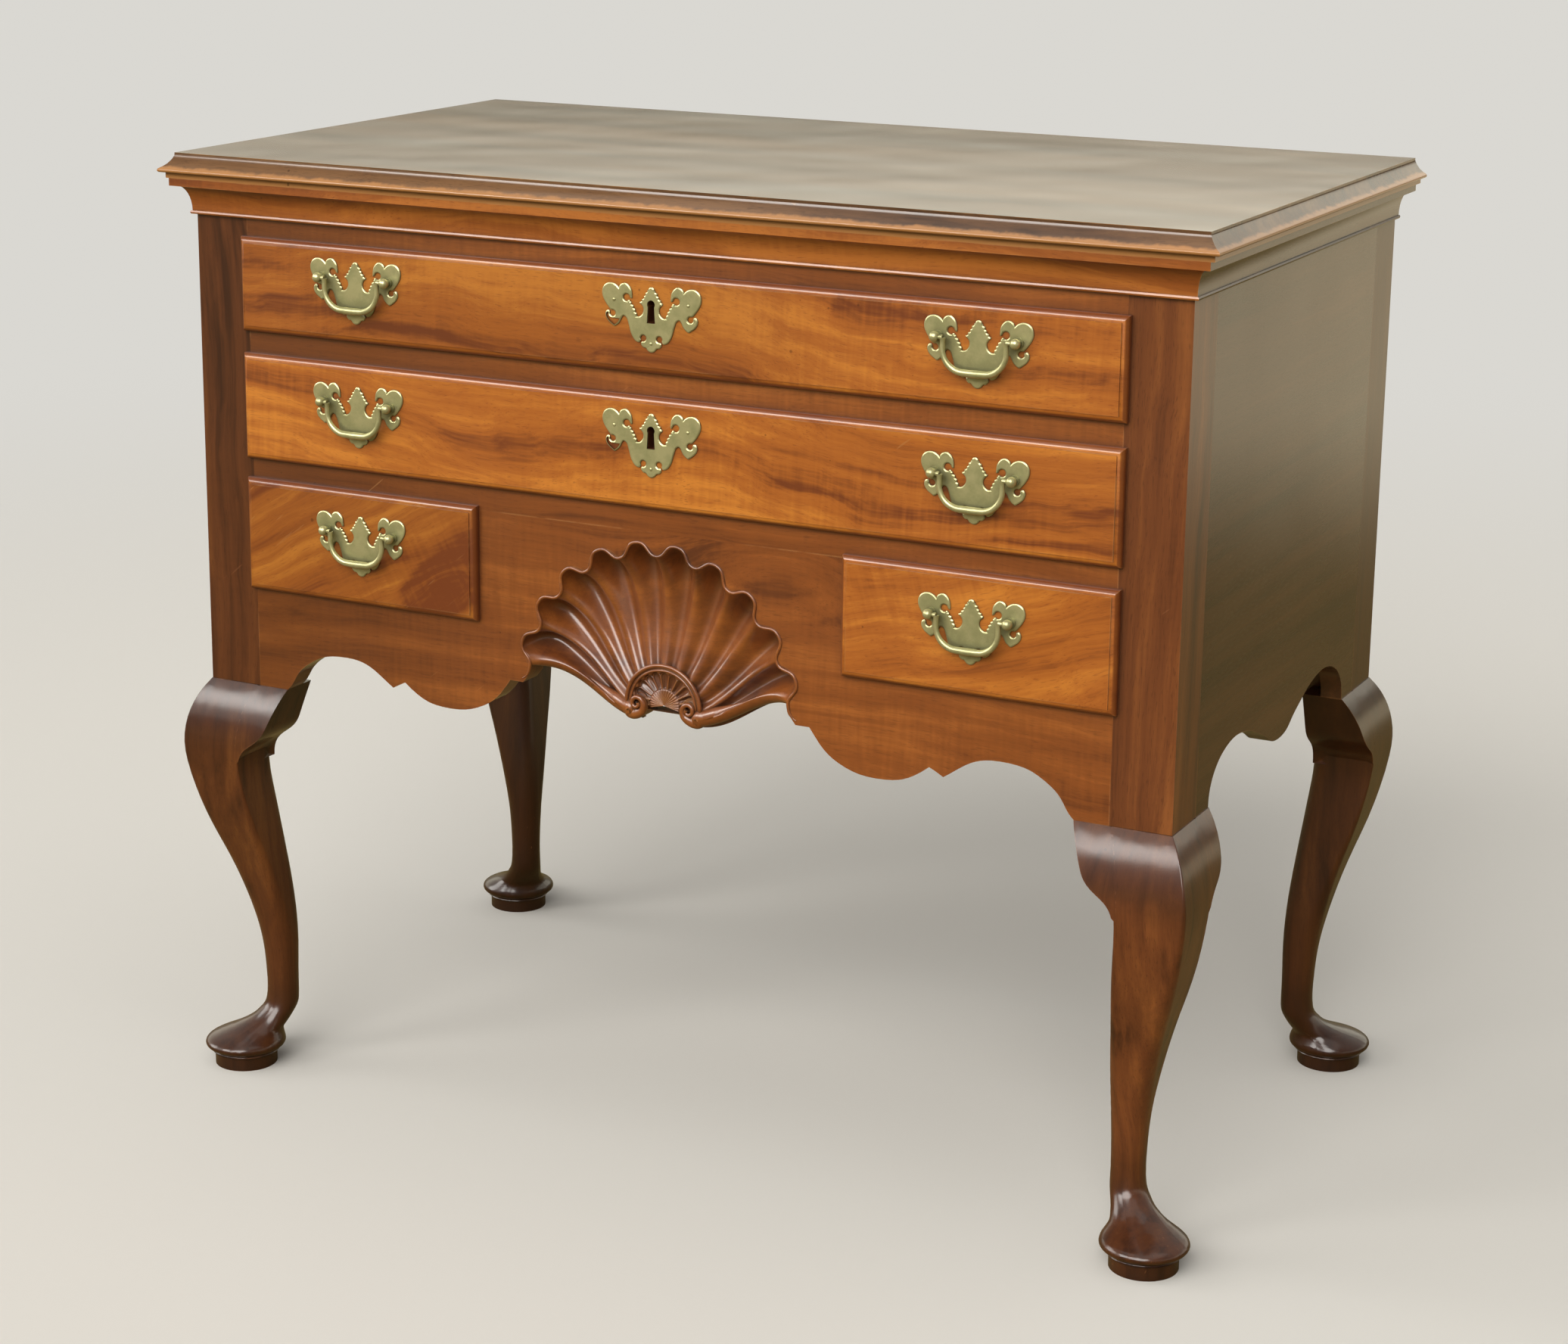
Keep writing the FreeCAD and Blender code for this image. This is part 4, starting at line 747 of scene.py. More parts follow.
class BeadTree:
    """A Geometry Nodes tree that sweeps a round bead along the edges of a path."""

    def __init__(self) -> None:
        """Build the tree once; each bead then sets the named inputs."""
        self.group = bpy.data.node_groups.new("round_bead", "GeometryNodeTree")
        face = self.group.interface
        face.new_socket("Path", in_out="INPUT", socket_type="NodeSocketGeometry")
        self.sides = face.new_socket("Sides", in_out="INPUT", socket_type="NodeSocketInt")
        self.wood = face.new_socket("Material", in_out="INPUT", socket_type="NodeSocketMaterial")
        face.new_socket("Bead", in_out="OUTPUT", socket_type="NodeSocketGeometry")
        t = Tree(self.group)
        into = t.add("NodeGroupInput")
        out = t.add("NodeGroupOutput")
        curve = t.add("GeometryNodeMeshToCurve", {"Mesh": into.outputs["Path"]})
        thick = t.add("GeometryNodeInputNamedAttribute", {"Name": "thick"}, data_type="FLOAT")
        sized = t.add("GeometryNodeSetCurveRadius", {"Curve": curve.outputs[0],
                                                     "Radius": thick.outputs[0]})
        ring = t.add("GeometryNodeCurvePrimitiveCircle", {"Resolution": into.outputs["Sides"],
                                                          "Radius": 1.0})
        swept = t.add("GeometryNodeCurveToMesh", {"Curve": sized.outputs[0],
                                                  "Profile Curve": ring.outputs[0],
                                                  "Fill Caps": True})
        if "Scale" in swept.inputs:
            t.put(swept.inputs["Scale"], thick.outputs[0])
        smooth = t.add("GeometryNodeSetShadeSmooth", {"Geometry": swept.outputs[0]})
        real = t.add("GeometryNodeRealizeInstances", {"Geometry": smooth.outputs[0]})
        clad = t.add("GeometryNodeSetMaterial", {"Geometry": real.outputs[0],
                                                 "Material": into.outputs["Material"]})
        t.put(out.inputs["Bead"], clad.outputs[0])

    def sweep(self, name: str, paths: Sequence[np.ndarray], thick: Sequence[np.ndarray],
              material: bpy.types.Material, sides: int = 10) -> bpy.types.Mesh:
        """Sweep beads along paths.

        Args:
            name: the mesh's name.
            paths: for each bead its points, in metres.
            thick: for each bead its radius at every point, in metres.
            material: the bead's material.
            sides: number of sides of the round section.

        Returns:
            A plain mesh.
        """
        path = bpy.data.meshes.new(name + "_path")
        edges, first = [], 0
        for points in paths:
            edges += [(first + i, first + i + 1) for i in range(len(points) - 1)]
            first += len(points)
        path.from_pydata(np.concatenate(paths).tolist(), edges, [])
        radius = path.attributes.new("thick", "FLOAT", "POINT")
        radius.data.foreach_set("value", np.concatenate(thick).astype(np.float32))
        piece = bpy.data.objects.new(name, path)
        bpy.context.scene.collection.objects.link(piece)
        sweep = piece.modifiers.new("sweep", "NODES")
        sweep.node_group = self.group
        sweep[self.sides.identifier] = sides
        sweep[self.wood.identifier] = material
        mesh = evaluated(piece)
        bpy.data.objects.remove(piece)
        return mesh


BEADS = BeadTree()


def dress(node: str, material: bpy.types.Material) -> None:
    """Give a CAD node its material and keep its mesh.

    Args:
        node: the CAD node.
        material: its material.
    """
    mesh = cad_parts[node].data
    mesh.materials.clear()
    mesh.materials.append(material)
    LOG.info("%s keeps its CAD shape", node)


# ---- Studio --------------------------------------------------------------------------------------

@dataclass(frozen=True)
class Lamp:
    """A soft lamp that points at a place, with its size in metres and its power in watts."""

    name: str
    place: Point
    aim: Point
    size: tuple[float, float]
    power: float


@dataclass(frozen=True)
class Glow:
    """A large soft light, far off.

    Its azimuth, to the right of the front, its height and its radius are in degrees.
    """

    azimuth: float
    height: float
    reach: float
    power: float


@dataclass
class Studio:
    """The floor, the light and the camera.

    The camera's own sizes are in pixels of its picture. What the polish mirrors has colours of
    its own, so that the wood reads as in a furnished room while the background stays plain.
    """

    view_width: float = 2072.0
    view_height: float = 1776.0
    focal_px: float = 4274.7
    middle_px: tuple[float, float] = (967.7, 760.4)
    camera_place: Point = (1.1927, -2.3894, 1.1180)
    azimuth: float = 27.669
    elevation: float = 14.212
    roll: float = -0.431
    floor_colour: Colour = (0.66, 0.64, 0.60)
    floor_far: Colour = (0.70, 0.685, 0.645)
    floor_mirrored: Colour = (0.215, 0.16, 0.062)
    front_mirrored: Colour = (0.32, 0.24, 0.10)
    back_mirrored: Colour = (0.90, 0.76, 0.50)
    floor_reach: float = 60.0
    wall_colour: Colour = (0.715, 0.70, 0.66)
    wall_foot: Colour = (0.12, 0.10, 0.06)
    wall_middle: Colour = (1.50, 1.42, 1.16)
    wall_top: Colour = (0.50, 0.49, 0.46)
    behind_camera: Colour = (0.10, 0.095, 0.085)
    room_light: Colour = (0.34, 0.335, 0.32)
    mirrored_gain: float = 0.7
    lamps: tuple[Lamp, ...] = (
        Lamp("ceiling_lamp", (0.3, -0.4, 2.9), (0.2, 0.0, 0.4), (3.4, 2.6), 20.0),
        Lamp("fill_lamp", (-2.4, -2.6, 1.5), (0.0, 0.0, 0.4), (1.4, 1.4), 7.0))
    glows: tuple[Glow, ...] = (Glow(8.0, 34.0, 20.0, 5.6), Glow(-32.0, 31.0, 11.0, 6.5),
                               Glow(-74.0, 24.0, 15.0, 3.5))

    def stand_camera(self) -> None:
        """Stand the camera where the lowboy is seen from."""
        data = bpy.data.cameras.new("camera")
        data.sensor_width = 36.0
        data.lens = self.focal_px * data.sensor_width / self.view_width
        data.shift_x = (self.view_width / 2 - self.middle_px[0]) / self.view_width
        data.shift_y = (self.middle_px[1] - self.view_height / 2) / self.view_width
        data.clip_end = 200.0
        camera = bpy.data.objects.new("camera", data)
        bpy.context.scene.collection.objects.link(camera)
        azimuth, elevation = math.radians(self.azimuth), math.radians(self.elevation)
        back = Vector((math.sin(azimuth) * math.cos(elevation),
                       -math.cos(azimuth) * math.cos(elevation), math.sin(elevation)))
        right = Vector((math.cos(azimuth), math.sin(azimuth), 0.0))
        up = back.cross(right)
        turn = Matrix((right, up, back)).transposed().to_4x4()
        spin = Matrix.Rotation(math.radians(-self.roll), 4, "Z")
        camera.matrix_world = Matrix.Translation(self.camera_place) @ turn @ spin
        bpy.context.scene.camera = camera

    def hang(self, lamp: Lamp) -> None:
        """Hang one lamp.

        Args:
            lamp: its place, aim, size and power.
        """
        data = bpy.data.lights.new(lamp.name, "AREA")
        data.shape = "RECTANGLE"
        data.size, data.size_y = lamp.size
        data.energy = lamp.power
        data.color = WARM_WHITE
        light = bpy.data.objects.new(lamp.name, data)
        light.location = lamp.place
        aim = Vector(lamp.aim) - Vector(lamp.place)
        light.rotation_euler = aim.to_track_quat("-Z", "Y").to_euler()
        bpy.context.scene.collection.objects.link(light)

    def brightness(self, t: Tree, toward: Socket, glow: Glow) -> Socket:
        """Work out how bright one glow is.

        Args:
            t: the world's tree.
            toward: the direction looked in.
            glow: the light.

        Returns:
            The brightness in that direction.
        """
        turn, rise = math.radians(glow.azimuth), math.radians(glow.height)
        place = (math.sin(turn) * math.cos(rise), -math.cos(turn) * math.cos(rise), math.sin(rise))
        outer, inner = (math.cos(math.radians(glow.reach * k)) for k in (1.25, 0.75))
        return t.span(t.vector("DOT_PRODUCT", toward, place), outer, inner, 0.0, glow.power)

    def wall(self, t: Tree, toward: Socket, camera_ray: Socket) -> Socket:
        """Work out what stands round the floor, paler behind the object than behind the camera.

        Args:
            t: the world's tree.
            toward: the direction looked in.
            camera_ray: 1 where the camera looks straight at it, 0 where it is mirrored.

        Returns:
            The colour in that direction.
        """
        behind = t.span(t.part(toward, "Y"), -0.55, 0.35)
        aside = t.span(t.math("ABSOLUTE", t.part(toward, "X")), 0.55, 0.95)
        pale = t.math("MAXIMUM", behind, t.math("MULTIPLY", aside, 0.7))
        rise = t.part(toward, "Z")
        low = t.mix(t.span(rise, 0.095, 0.165), self.wall_foot, self.wall_middle)
        mirrored = t.mix(t.span(rise, 0.20, 0.55), low, self.wall_top)
        return t.mix(pale, self.behind_camera, t.mix(camera_ray, mirrored, self.wall_colour))

    def light_world(self) -> None:
        """Surround the object with soft light, and give the polish something to mirror."""
        world = bpy.data.worlds.new("studio")
        bpy.context.scene.world = world
        world.use_nodes = True
        world.node_tree.nodes.clear()
        t = Tree(world.node_tree)
        toward = t.add("ShaderNodeTexCoord").outputs["Generated"]
        path = t.add("ShaderNodeLightPath").outputs
        seen = t.math("MAXIMUM", path["Is Camera Ray"], path["Is Glossy Ray"])
        seen = t.math("MAXIMUM", seen, path["Is Transmission Ray"])
        colour = t.mix(seen, self.room_light, self.wall(t, toward, path["Is Camera Ray"]))
        gain = t.math("ADD", 1.0, t.math("MULTIPLY", path["Is Glossy Ray"], self.mirrored_gain))
        gain = t.math("SUBTRACT", gain, path["Is Camera Ray"])
        bright: Value = 0.0
        for glow in self.glows:
            bright = t.math("ADD", bright, self.brightness(t, toward, glow))
        power = t.math("MULTIPLY", bright, gain)
        lit = t.add("ShaderNodeVectorMath", {0: WARM_WHITE, "Scale": power}, operation="SCALE")
        colour = t.vector("ADD", colour, lit.outputs[0])
        light = t.add("ShaderNodeBackground", {"Color": colour, "Strength": 1.0})
        t.add("ShaderNodeOutputWorld", {"Surface": light.outputs[0]})

    def lay_floor(self) -> None:
        """Lay the floor: pale to the camera, darker in what the polish mirrors close by."""
        mesh = bpy.data.meshes.new("floor")
        reach = self.floor_reach
        mesh.from_pydata([(-reach, -reach, 0), (reach, -reach, 0), (reach, reach, 0),
                          (-reach, reach, 0)], [], [(0, 1, 2, 3)])
        material, t = blank_material("floor")
        place = t.add("ShaderNodeTexCoord").outputs["Object"]
        camera = t.add("ShaderNodeLightPath").outputs["Is Camera Ray"]
        near = t.add("ShaderNodeBsdfDiffuse", {
            "Color": t.mix(camera, self.floor_mirrored, self.floor_colour)})
        away = t.span(t.part(place, "Y"), -0.6, 1.2)
        mirrored = t.mix(away, self.front_mirrored, self.back_mirrored)
        far = t.add("ShaderNodeEmission", {"Color": t.mix(camera, mirrored, self.floor_far)})
        start = t.math("SUBTRACT", 2.0, t.math("MULTIPLY", camera, 0.8))
        length = t.math("ADD", 1.5, t.math("MULTIPLY", camera, 0.9))
        beyond = t.math("SUBTRACT", t.vector("LENGTH", place), start)
        share = t.span(t.math("DIVIDE", beyond, length), 0.0, 1.0)
        both = t.add("ShaderNodeMixShader", {0: share, 1: near.outputs[0], 2: far.outputs[0]})
        t.add("ShaderNodeOutputMaterial", {"Surface": both.outputs[0]})
        new_piece("floor", mesh, material)

    def build(self) -> None:
        """Set the whole studio up."""
        bpy.context.scene.view_settings.view_transform = "Standard"
        self.stand_camera()
        self.light_world()
        for lamp in self.lamps:
            self.hang(lamp)
        self.lay_floor()


# ---- Case ----------------------------------------------------------------------------------------

@dataclass
class CaseWork:
    """The fixed boards of the case, its mouldings and its legs."""

    body: str = "case"
    top_slot: str = "mahogany_top"
    front_slot: str = "mahogany_front"
    dark_slot: str = "mahogany_dark"
    leg_names: tuple[str, ...] = ("front_left_leg", "front_right_leg", "rear_left_leg",
                                  "rear_right_leg")
    joint_reach: float = 1.7 * MM
    joint_overlap: float = 3.0 * MM
    top_sharp: float = 34.0
    moulding_sharp: float = 20.0
    leg_sharp: float = 26.0
    swirl: Eye = Eye(x=0.115, z=0.508, size=0.060, lift=0.034, dark=0.14)
    shell_wood: Optional[bpy.types.Material] = None

    def top(self) -> None:
        """Dress the top and the moulding under it."""
        board = TOP_WOOD.material("top_board_wood", Along.ACROSS, (0.3, 0.1, 0.7))
        finished_copy("top_board", "moulded_top", board, self.body, self.top_slot,
                      self.top_sharp)
        front = CORNICE_WOOD.material("front_cornice_wood", Along.ACROSS, (1.7, 0.4, 0.2))
        finished_copy("front_cornice", "front_moulding", front, self.body, self.top_slot,
                      self.moulding_sharp)
        for side, shift in (("left", 2.1), ("right", 3.3)):
            wood = SIDE_WOOD.material(side + "_cornice_wood", Along.DEEP, (shift, 0.2, 0.1))
            finished_copy(side + "_cornice", side + "_moulding", wood, self.body, self.top_slot,
                          self.moulding_sharp)

    def front(self) -> None:
        """Dress the rails and the apron."""
        for name, shift in (("top_rail", 0.9), ("upper_rail", 1.9), ("middle_rail", 2.9)):
            place = (shift, shift * 0.37, 0.0)
            dress(name, APRON_WOOD.material(name + "_wood", Along.ACROSS, place))
        plank = (0.2, 0.55, 0.0)
        apron = APRON_WOOD.material("apron_wood", Along.ACROSS, plank, self.swirl)
        self.shell_wood = SHELL_WOOD.material("shell_wood", Along.ACROSS, plank, self.swirl)
        finished_copy("apron", "scalloped_apron", apron, self.body, self.front_slot)

    def sides(self) -> None:
        """Dress the side boards and the back."""
        for side, shift in (("left", 0.4), ("right", 1.2)):
            wood = SIDE_WOOD.material(side + "_side_wood", Along.DEEP, (shift, 0.3, shift))
            finished_copy(side + "_side", side + "_side_board", wood, self.body, self.dark_slot)
        dress("back_board", PINE.material("back_board_wood", Along.ACROSS, (0.1, 0.9, 0.3)))

    def legs(self) -> None:
        """Dress the legs and their brackets, cut from one plank."""
        wood = LEG_WOOD.material("leg_wood", Along.UPRIGHT, (0.3, 0.25, 0.2))
        for name in self.leg_names:
            finished_copy(name, "carved_" + name, wood, self.body, self.dark_slot,
                          self.leg_sharp)
        for name, axis in (("front_knee_brackets", 0), ("side_knee_brackets", 1)):
            finished_copy(name, "carved_" + name, wood, self.body, self.dark_slot,
                          self.leg_sharp, lambda mesh, axis=axis: self.close_joint(mesh, axis))

    def close_joint(self, mesh: bpy.types.Mesh, axis: int) -> None:
        """Let the brackets' glued faces run a little way into their legs.

        Args:
            mesh: the brackets.
            axis: 0 for brackets beside their legs along X, 1 along Y.
        """
        work = bmesh.new()
        for name in self.leg_names:
            work.from_mesh(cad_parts[name].data)
        legs = BVHTree.FromBMesh(work)
        work.free()
        for vertex in mesh.vertices:
            if legs.find_nearest(vertex.co, self.joint_reach)[0] is not None:
                vertex.co[axis] += math.copysign(self.joint_overlap, vertex.co[axis])

    def inside(self) -> None:
        """Dress what the case hides."""
        deep = PINE.material("runner_wood", Along.DEEP, (0.2, 0.1, 0.5))
        for name in ("upper_runners", "middle_runners", "lower_runners", "drawer_guides",
                     "top_kickers"):
            dress(name, deep)
        dress("glue_blocks", PINE.material("glue_block_wood", Along.ACROSS, (0.8, 0.1, 0.5)))

    def build(self) -> None:
        """Dress the whole case."""
        self.top()
        self.front()
        self.sides()
        self.legs()
        self.inside()


# ---- Drawers -------------------------------------------------------------------------------------

@dataclass(frozen=True)
class DrawerLook:
    """How one drawer's front is figured, and how much painted shade it gets."""

    prefix: str
    shift: Point
    eye: Eye = Eye()
    tilt: float = 0.0
    # painted shade: a factor on the front's light and mid colours
    shade: float = 1.0
    painted_shades: tuple[PaintedShade, ...] = ()


@dataclass
class Drawers:
    """The four drawers without their brasses."""

    slot: str = "mahogany_front"
    front_sharp: float = 20.0
    # painted shade: the top drawer darker towards its left, the small left drawer darker all over
    looks: tuple[DrawerLook, ...] = (
        DrawerLook("top", (0.15, 0.35, 0.0), tilt=-0.05,
                   painted_shades=(PaintedShade("X", full=0.02, clear=0.22, most=0.20),)),
        DrawerLook("second", (1.35, 0.15, 0.0), tilt=-0.04),
        DrawerLook("left", (2.4, 0.8, 0.0), tilt=0.50, shade=0.76,
                   eye=Eye(x=-0.186, z=0.468, size=0.031, lift=0.024, dark=0.50)),
        DrawerLook("right", (3.1, 0.5, 0.0), tilt=0.28))

    def build(self) -> None:
        """Dress the drawers."""
        deep = PINE.material("drawer_side_wood", Along.DEEP, (0.4, 0.6, 0.1))
        wide = PINE.material("drawer_back_wood", Along.ACROSS, (0.9, 0.2, 0.3))
        for look in self.looks:
            # painted shade: scale this front's colours and lay its shade along an axis
            board = replace(FRONT_WOOD, light=tuple(c * look.shade for c in FRONT_WOOD.light),
                            mid=tuple(c * look.shade for c in FRONT_WOOD.mid), painted_shades=look.painted_shades)
            body = look.prefix + "_drawer"
            wood = board.material(body + "_wood", Along.ACROSS, look.shift, look.eye, look.tilt)
            finished_copy(body + "_front", look.prefix + "_lipped_front", wood, body, self.slot,
                          self.front_sharp)
            dress(body + "_sides", deep)
            dress(body + "_back", wide)
            dress(body + "_bottom", wide)


# ---- Shell ---------------------------------------------------------------------------------------

@dataclass(frozen=True)
class HubBead:
    """A raised bead round the hub: its radius, its depth and its own radius, in millimetres."""

    radius: float
    depth: float
    thick: float


@dataclass
class CarvedShell:
    """The hollow shell in the middle of the apron, with its little fan and two scrolls.

    Sizes are in millimetres; depths are measured back from the front of the case. A place on the
    shell is its flute, counted from the centre line, and its way out: 0 at the hub, 1 on the rim.
    """

    body: str = "case"
    slot: str = "mahogany_front"

    # where it sits, and the block it is carved from
    face: float = -242.5
    centre_z: float = 386.0
    block: float = 32.0
    back_share: float = 0.28
    wall_gap: float = 3.0
    roll_gap: float = 5.0

    # the outline
    half_width: float = 118.0
    height: float = 124.7
    half_lobes: int = 5
    lobe: float = 11.0
    square: float = 1.2
    lobe_share: float = 0.12
    foot: float = 9.2
    curl: float = -25.0
    sweep: float = 2.7

    # the bowl, its flutes and the roll along its lower edge
    dish: float = 19.0
    flute: float = 9.0
    hub: float = 32.0
    hub_depth: float = 12.0
    last_skew: float = 0.66
    roll: float = 8.0
    roll_taper: float = 0.65
    roll_lift: float = 5.0
    border: float = 1.0
    border_depth: float = 0.03

    # the beads round the rim and the hub
    bead: float = 1.3
    bead_depth: float = -0.1
    ends: tuple[tuple[float, float], ...] = ((117.6, 401.0), (119.8, 397.5), (123.5, 395.0))
    hub_beads: tuple[HubBead, ...] = (HubBead(33.2, 11.0, 1.7), HubBead(29.4, 11.2, 1.15))

    # the fan, its foot, its boss and the arches round its hollows
    fan_ribs: int = 11
    fan_start: float = 13.8
    fan_length: float = 15.0
    fan_depth: float = 14.6
    fan_flute: float = 1.9
    fan_edge: float = 28.2
    fan_scallop: float = 2.2
    fan_wall: tuple[float, ...] = (29.5, 31.0, 33.0, 34.2)
    fan_rim_depth: float = 11.3
    fan_past: float = 0.24
    fan_foot: float = 5.0
    foot_half: float = 17.0
    boss: float = 13.4
    boss_depth: float = 12.7
    boss_fall: float = 0.9
    reeds: int = 34
    reed: float = 0.35
    arch_start: float = 13.9
    arch_leg: float = 24.6
    arch_rise: float = 2.6
    arch_depth: float = 14.0
    arch_thick: float = 0.5

    # the scrolls, as (x, z, radius) from their middle, and the block behind them
    scroll_x: float = 22.6
    scroll_front: float = 8.6
    scroll_back: float = 0.12
    scroll_roll: float = 0.74
    scroll: tuple[Point, ...] = (
        (7.4, -9.4, 5.6), (1.9, -9.2, 4.8), (-3.2, -6.2, 3.6), (-4.9, -1.4, 2.7),
        (-3.0, 3.1, 2.2), (0.9, 4.6, 2.0), (4.2, 2.4, 1.9), (4.4, -1.5, 1.7), (1.6, -3.5, 1.5),
        (-1.2, -1.8, 1.4), (-0.5, 0.5, 1.5))
    core_r: float = 8.2
    core_x: float = 0.7
    core_depth: float = 21.5
    core_length: float = 14.0

    def metres(self, points: np.ndarray) -> np.ndarray:
        """Points as (x, depth, z) in millimetres, put in the frame's metres."""
        return (points + np.array([0.0, self.face, 0.0])) * MM

    @staticmethod
    def mirrored(points: np.ndarray) -> np.ndarray:
        """Points as (x, depth, z) on the other side of the centre line."""
        return points * np.array([-1.0, 1.0, 1.0])

    @staticmethod
    def smooth_path(points: np.ndarray, steps: int = 7) -> np.ndarray:
        """Draw a smooth line through points, by Catmull and Rom's rule.

        Args:
            points: the points, one in each row.
            steps: steps from each point to the next.

        Returns:
            The line's points.
        """
        ends = np.concatenate([2 * points[:1] - points[1:2], points,
                               2 * points[-1:] - points[-2:-1]])
        line = []
        for a, b, c, d in zip(ends, ends[1:], ends[2:], ends[3:]):
            for t in np.arange(steps) / steps:
                line.append(0.5 * (2 * b + (c - a) * t + (2 * a - 5 * b + 4 * c - d) * t ** 2
                                   + (3 * b - a - 3 * c + d) * t ** 3))
        return np.array(line + [points[-1]])

    def outline(self, place: np.ndarray, out: np.ndarray, lobe: np.ndarray) -> np.ndarray:
        """Places in the front plane.

        Args:
            place: flutes from the centre line, 0 and up.
            out: 0 at the hub, 1 on the rim.
            lobe: how far the lobe stands out there.

        Returns:
            Points as (x, z) on the right-hand side.
        """
        rim = np.radians(90 - (90 - self.foot) * place / self.half_lobes)
        hub = np.radians(90 - (90 - self.curl) * place / self.half_lobes)
        angle = rim + (hub - rim) * (1 - out) ** self.sweep
        x = (self.hub + (self.half_width + lobe - self.hub) * out) * np.cos(angle)
        z = self.centre_z + (self.hub + (self.height + lobe - self.hub) * out) * np.sin(angle)
        return np.stack([x, z], axis=-1)

    def lobe_at(self, place: np.ndarray) -> np.ndarray:
        """Shape the rim: round lobes with rounded hollows between.

        Args:
            place: flutes from the centre line.

        Returns:
            How far the rim stands out there.
        """
        wave = np.tanh(self.square * (self.lobe_share - np.cos(2 * np.pi * place)))
        low, high = (math.tanh(self.square * (self.lobe_share + end)) for end in (-1, 1))
        return self.lobe * (wave - low) / (high - low)

    def inward(self, out: np.ndarray) -> np.ndarray:
        """Unit vectors that point from the shell's lower edge into it.

        Args:
            out: 0 at the hub, 1 on the rim.

        Returns:
            Vectors as (x, z) on the right-hand side.
        """
        last = np.full_like(out, float(self.half_lobes))
        step = 0.004
        ahead = self.outline(last, np.minimum(out + step, 1.0), 0.0 * out)
        back = self.outline(last, np.maximum(out - step, 0.0), 0.0 * out)
        along = ahead - back
        along /= np.linalg.norm(along, axis=-1, keepdims=True)
        return np.stack([-along[..., 1], along[..., 0]], axis=-1)

    def roll_at(self, out: np.ndarray) -> np.ndarray:
        """Radius of the roll along the lower edge."""
        return self.roll * (1 - self.roll_taper * out ** 8)

    def surface(self, place: np.ndarray, out: np.ndarray) -> np.ndarray:
        """The carved surface: a bowl, its flutes and a lift towards the rolled lower edge.

        Args:
            place: flutes from the centre line, 0 and up.
            out: 0 at the hub, 1 on the rim.

        Returns:
            Points as (x, depth, z) on the right-hand side.
        """
        within = np.clip(place - self.half_lobes + 1, 0.0, 1.0)
        skewed = place - within + within ** self.last_skew
        wave = (np.sin(np.pi * skewed) ** 2) ** (1.25 - 0.35 * out ** 2)
        flat = self.outline(place, out, self.lobe_at(place))
        flat = flat + self.inward(out) * (self.roll_at(out) * within ** 2)[..., None]
        bowl = self.hub_depth + (self.dish - self.hub_depth) * np.sin(
            np.pi * np.minimum(0.9 * out, 0.5))
        ridge = bowl * (1 - out ** 5)
        hollow = (bowl + self.flute * (0.42 + 0.58 * out)) * (1 - out ** 14)
        end = np.clip(1.6 * (place - self.half_lobes) + 1.0, 0.0, 1.0)
        lift = self.roll_lift * end * end * (3 - 2 * end) * (1 - out ** 4)
        depth = ridge + (hollow - ridge) * wave - lift
        return np.stack([flat[..., 0], depth, flat[..., 1]], axis=-1)

    def rolled_edge(self, edge: np.ndarray, out: np.ndarray) -> np.ndarray:
        """Turn the lower edge over into the block.

        Args:
            edge: the surface's last line, as (x, depth, z).
            out: 0 at the hub, 1 on the rim, for each of its points.

        Returns:
            The roll's points, as many lines as it has turns.
        """
        radius, push = self.roll_at(out), self.inward(out)
        turns = []
        for degrees in (15, 30, 45, 60, 75, 90):
            turn = math.radians(degrees)
            row = edge.copy()
            row[:, 0] -= push[:, 0] * radius * math.sin(turn)
            row[:, 2] -= push[:, 1] * radius * math.sin(turn)
            row[:, 1] += radius * (1 - math.cos(turn))
            turns.append(row)
        last = turns[-1].copy()
        last[:, 1] = self.block - self.roll_gap
        return np.stack([*turns, last], axis=1)

    def front(self) -> bpy.types.Mesh:
        """The flutes, the rolled lower edges and a hidden border under the apron's face.

        Returns:
            The front's mesh.
        """
        place = np.linspace(0, self.half_lobes, self.half_lobes * 22 + 1)
        out = 1 - (1 - np.linspace(0, 1, 60)) ** 1.5
        outs, places = np.meshgrid(out, place, indexing="ij")
        carved = self.surface(places, outs)
        wave = np.abs(np.sin(np.pi * place))
        margin = self.border * np.clip((self.half_lobes - place) * 6, 0, 1)
        rim = self.outline(place, np.ones_like(place), self.lobe * wave ** 0.8 + margin)
        border = np.stack([rim[:, 0], np.full_like(place, self.border_depth), rim[:, 1]], axis=-1)
        carved = np.concatenate([carved, border[None]], axis=0)
        roll = self.rolled_edge(carved[:-1, -1], out)
        roll = np.concatenate([roll, roll[-1:]], axis=0)
        right = np.concatenate([carved, roll], axis=1)
        left = self.mirrored(right[:, :0:-1])
        return grid_mesh("shell_flutes", self.metres(np.concatenate([left, right], axis=1)))

    def rim_bead(self) -> tuple[np.ndarray, np.ndarray]:
        """The raised bead round the rim, thinner towards its two tips.

        Returns:
            Its path and its radius at every point, in metres.
        """
        place = np.linspace(0, self.half_lobes, self.half_lobes * 24 + 1)
        rim = self.outline(place, np.ones_like(place), self.lobe_at(place))
        rim = np.concatenate([rim, self.smooth_path(np.array([rim[-1], *self.ends]))[1:]])
        right = np.stack([rim[:, 0], np.full(len(rim), self.bead_depth), rim[:, 1]], axis=-1)
        path = np.concatenate([self.mirrored(right[:0:-1]), right])
        tip_x, tip_z = self.ends[-1]
        inside = np.clip((tip_x - np.abs(path[:, 0])) / 6.0, 0.25, 1.0)
        above = np.clip((path[:, 2] - tip_z) / 12.0, 0.35, 1.0)
        return self.metres(path), self.bead * np.maximum(inside, above) * MM

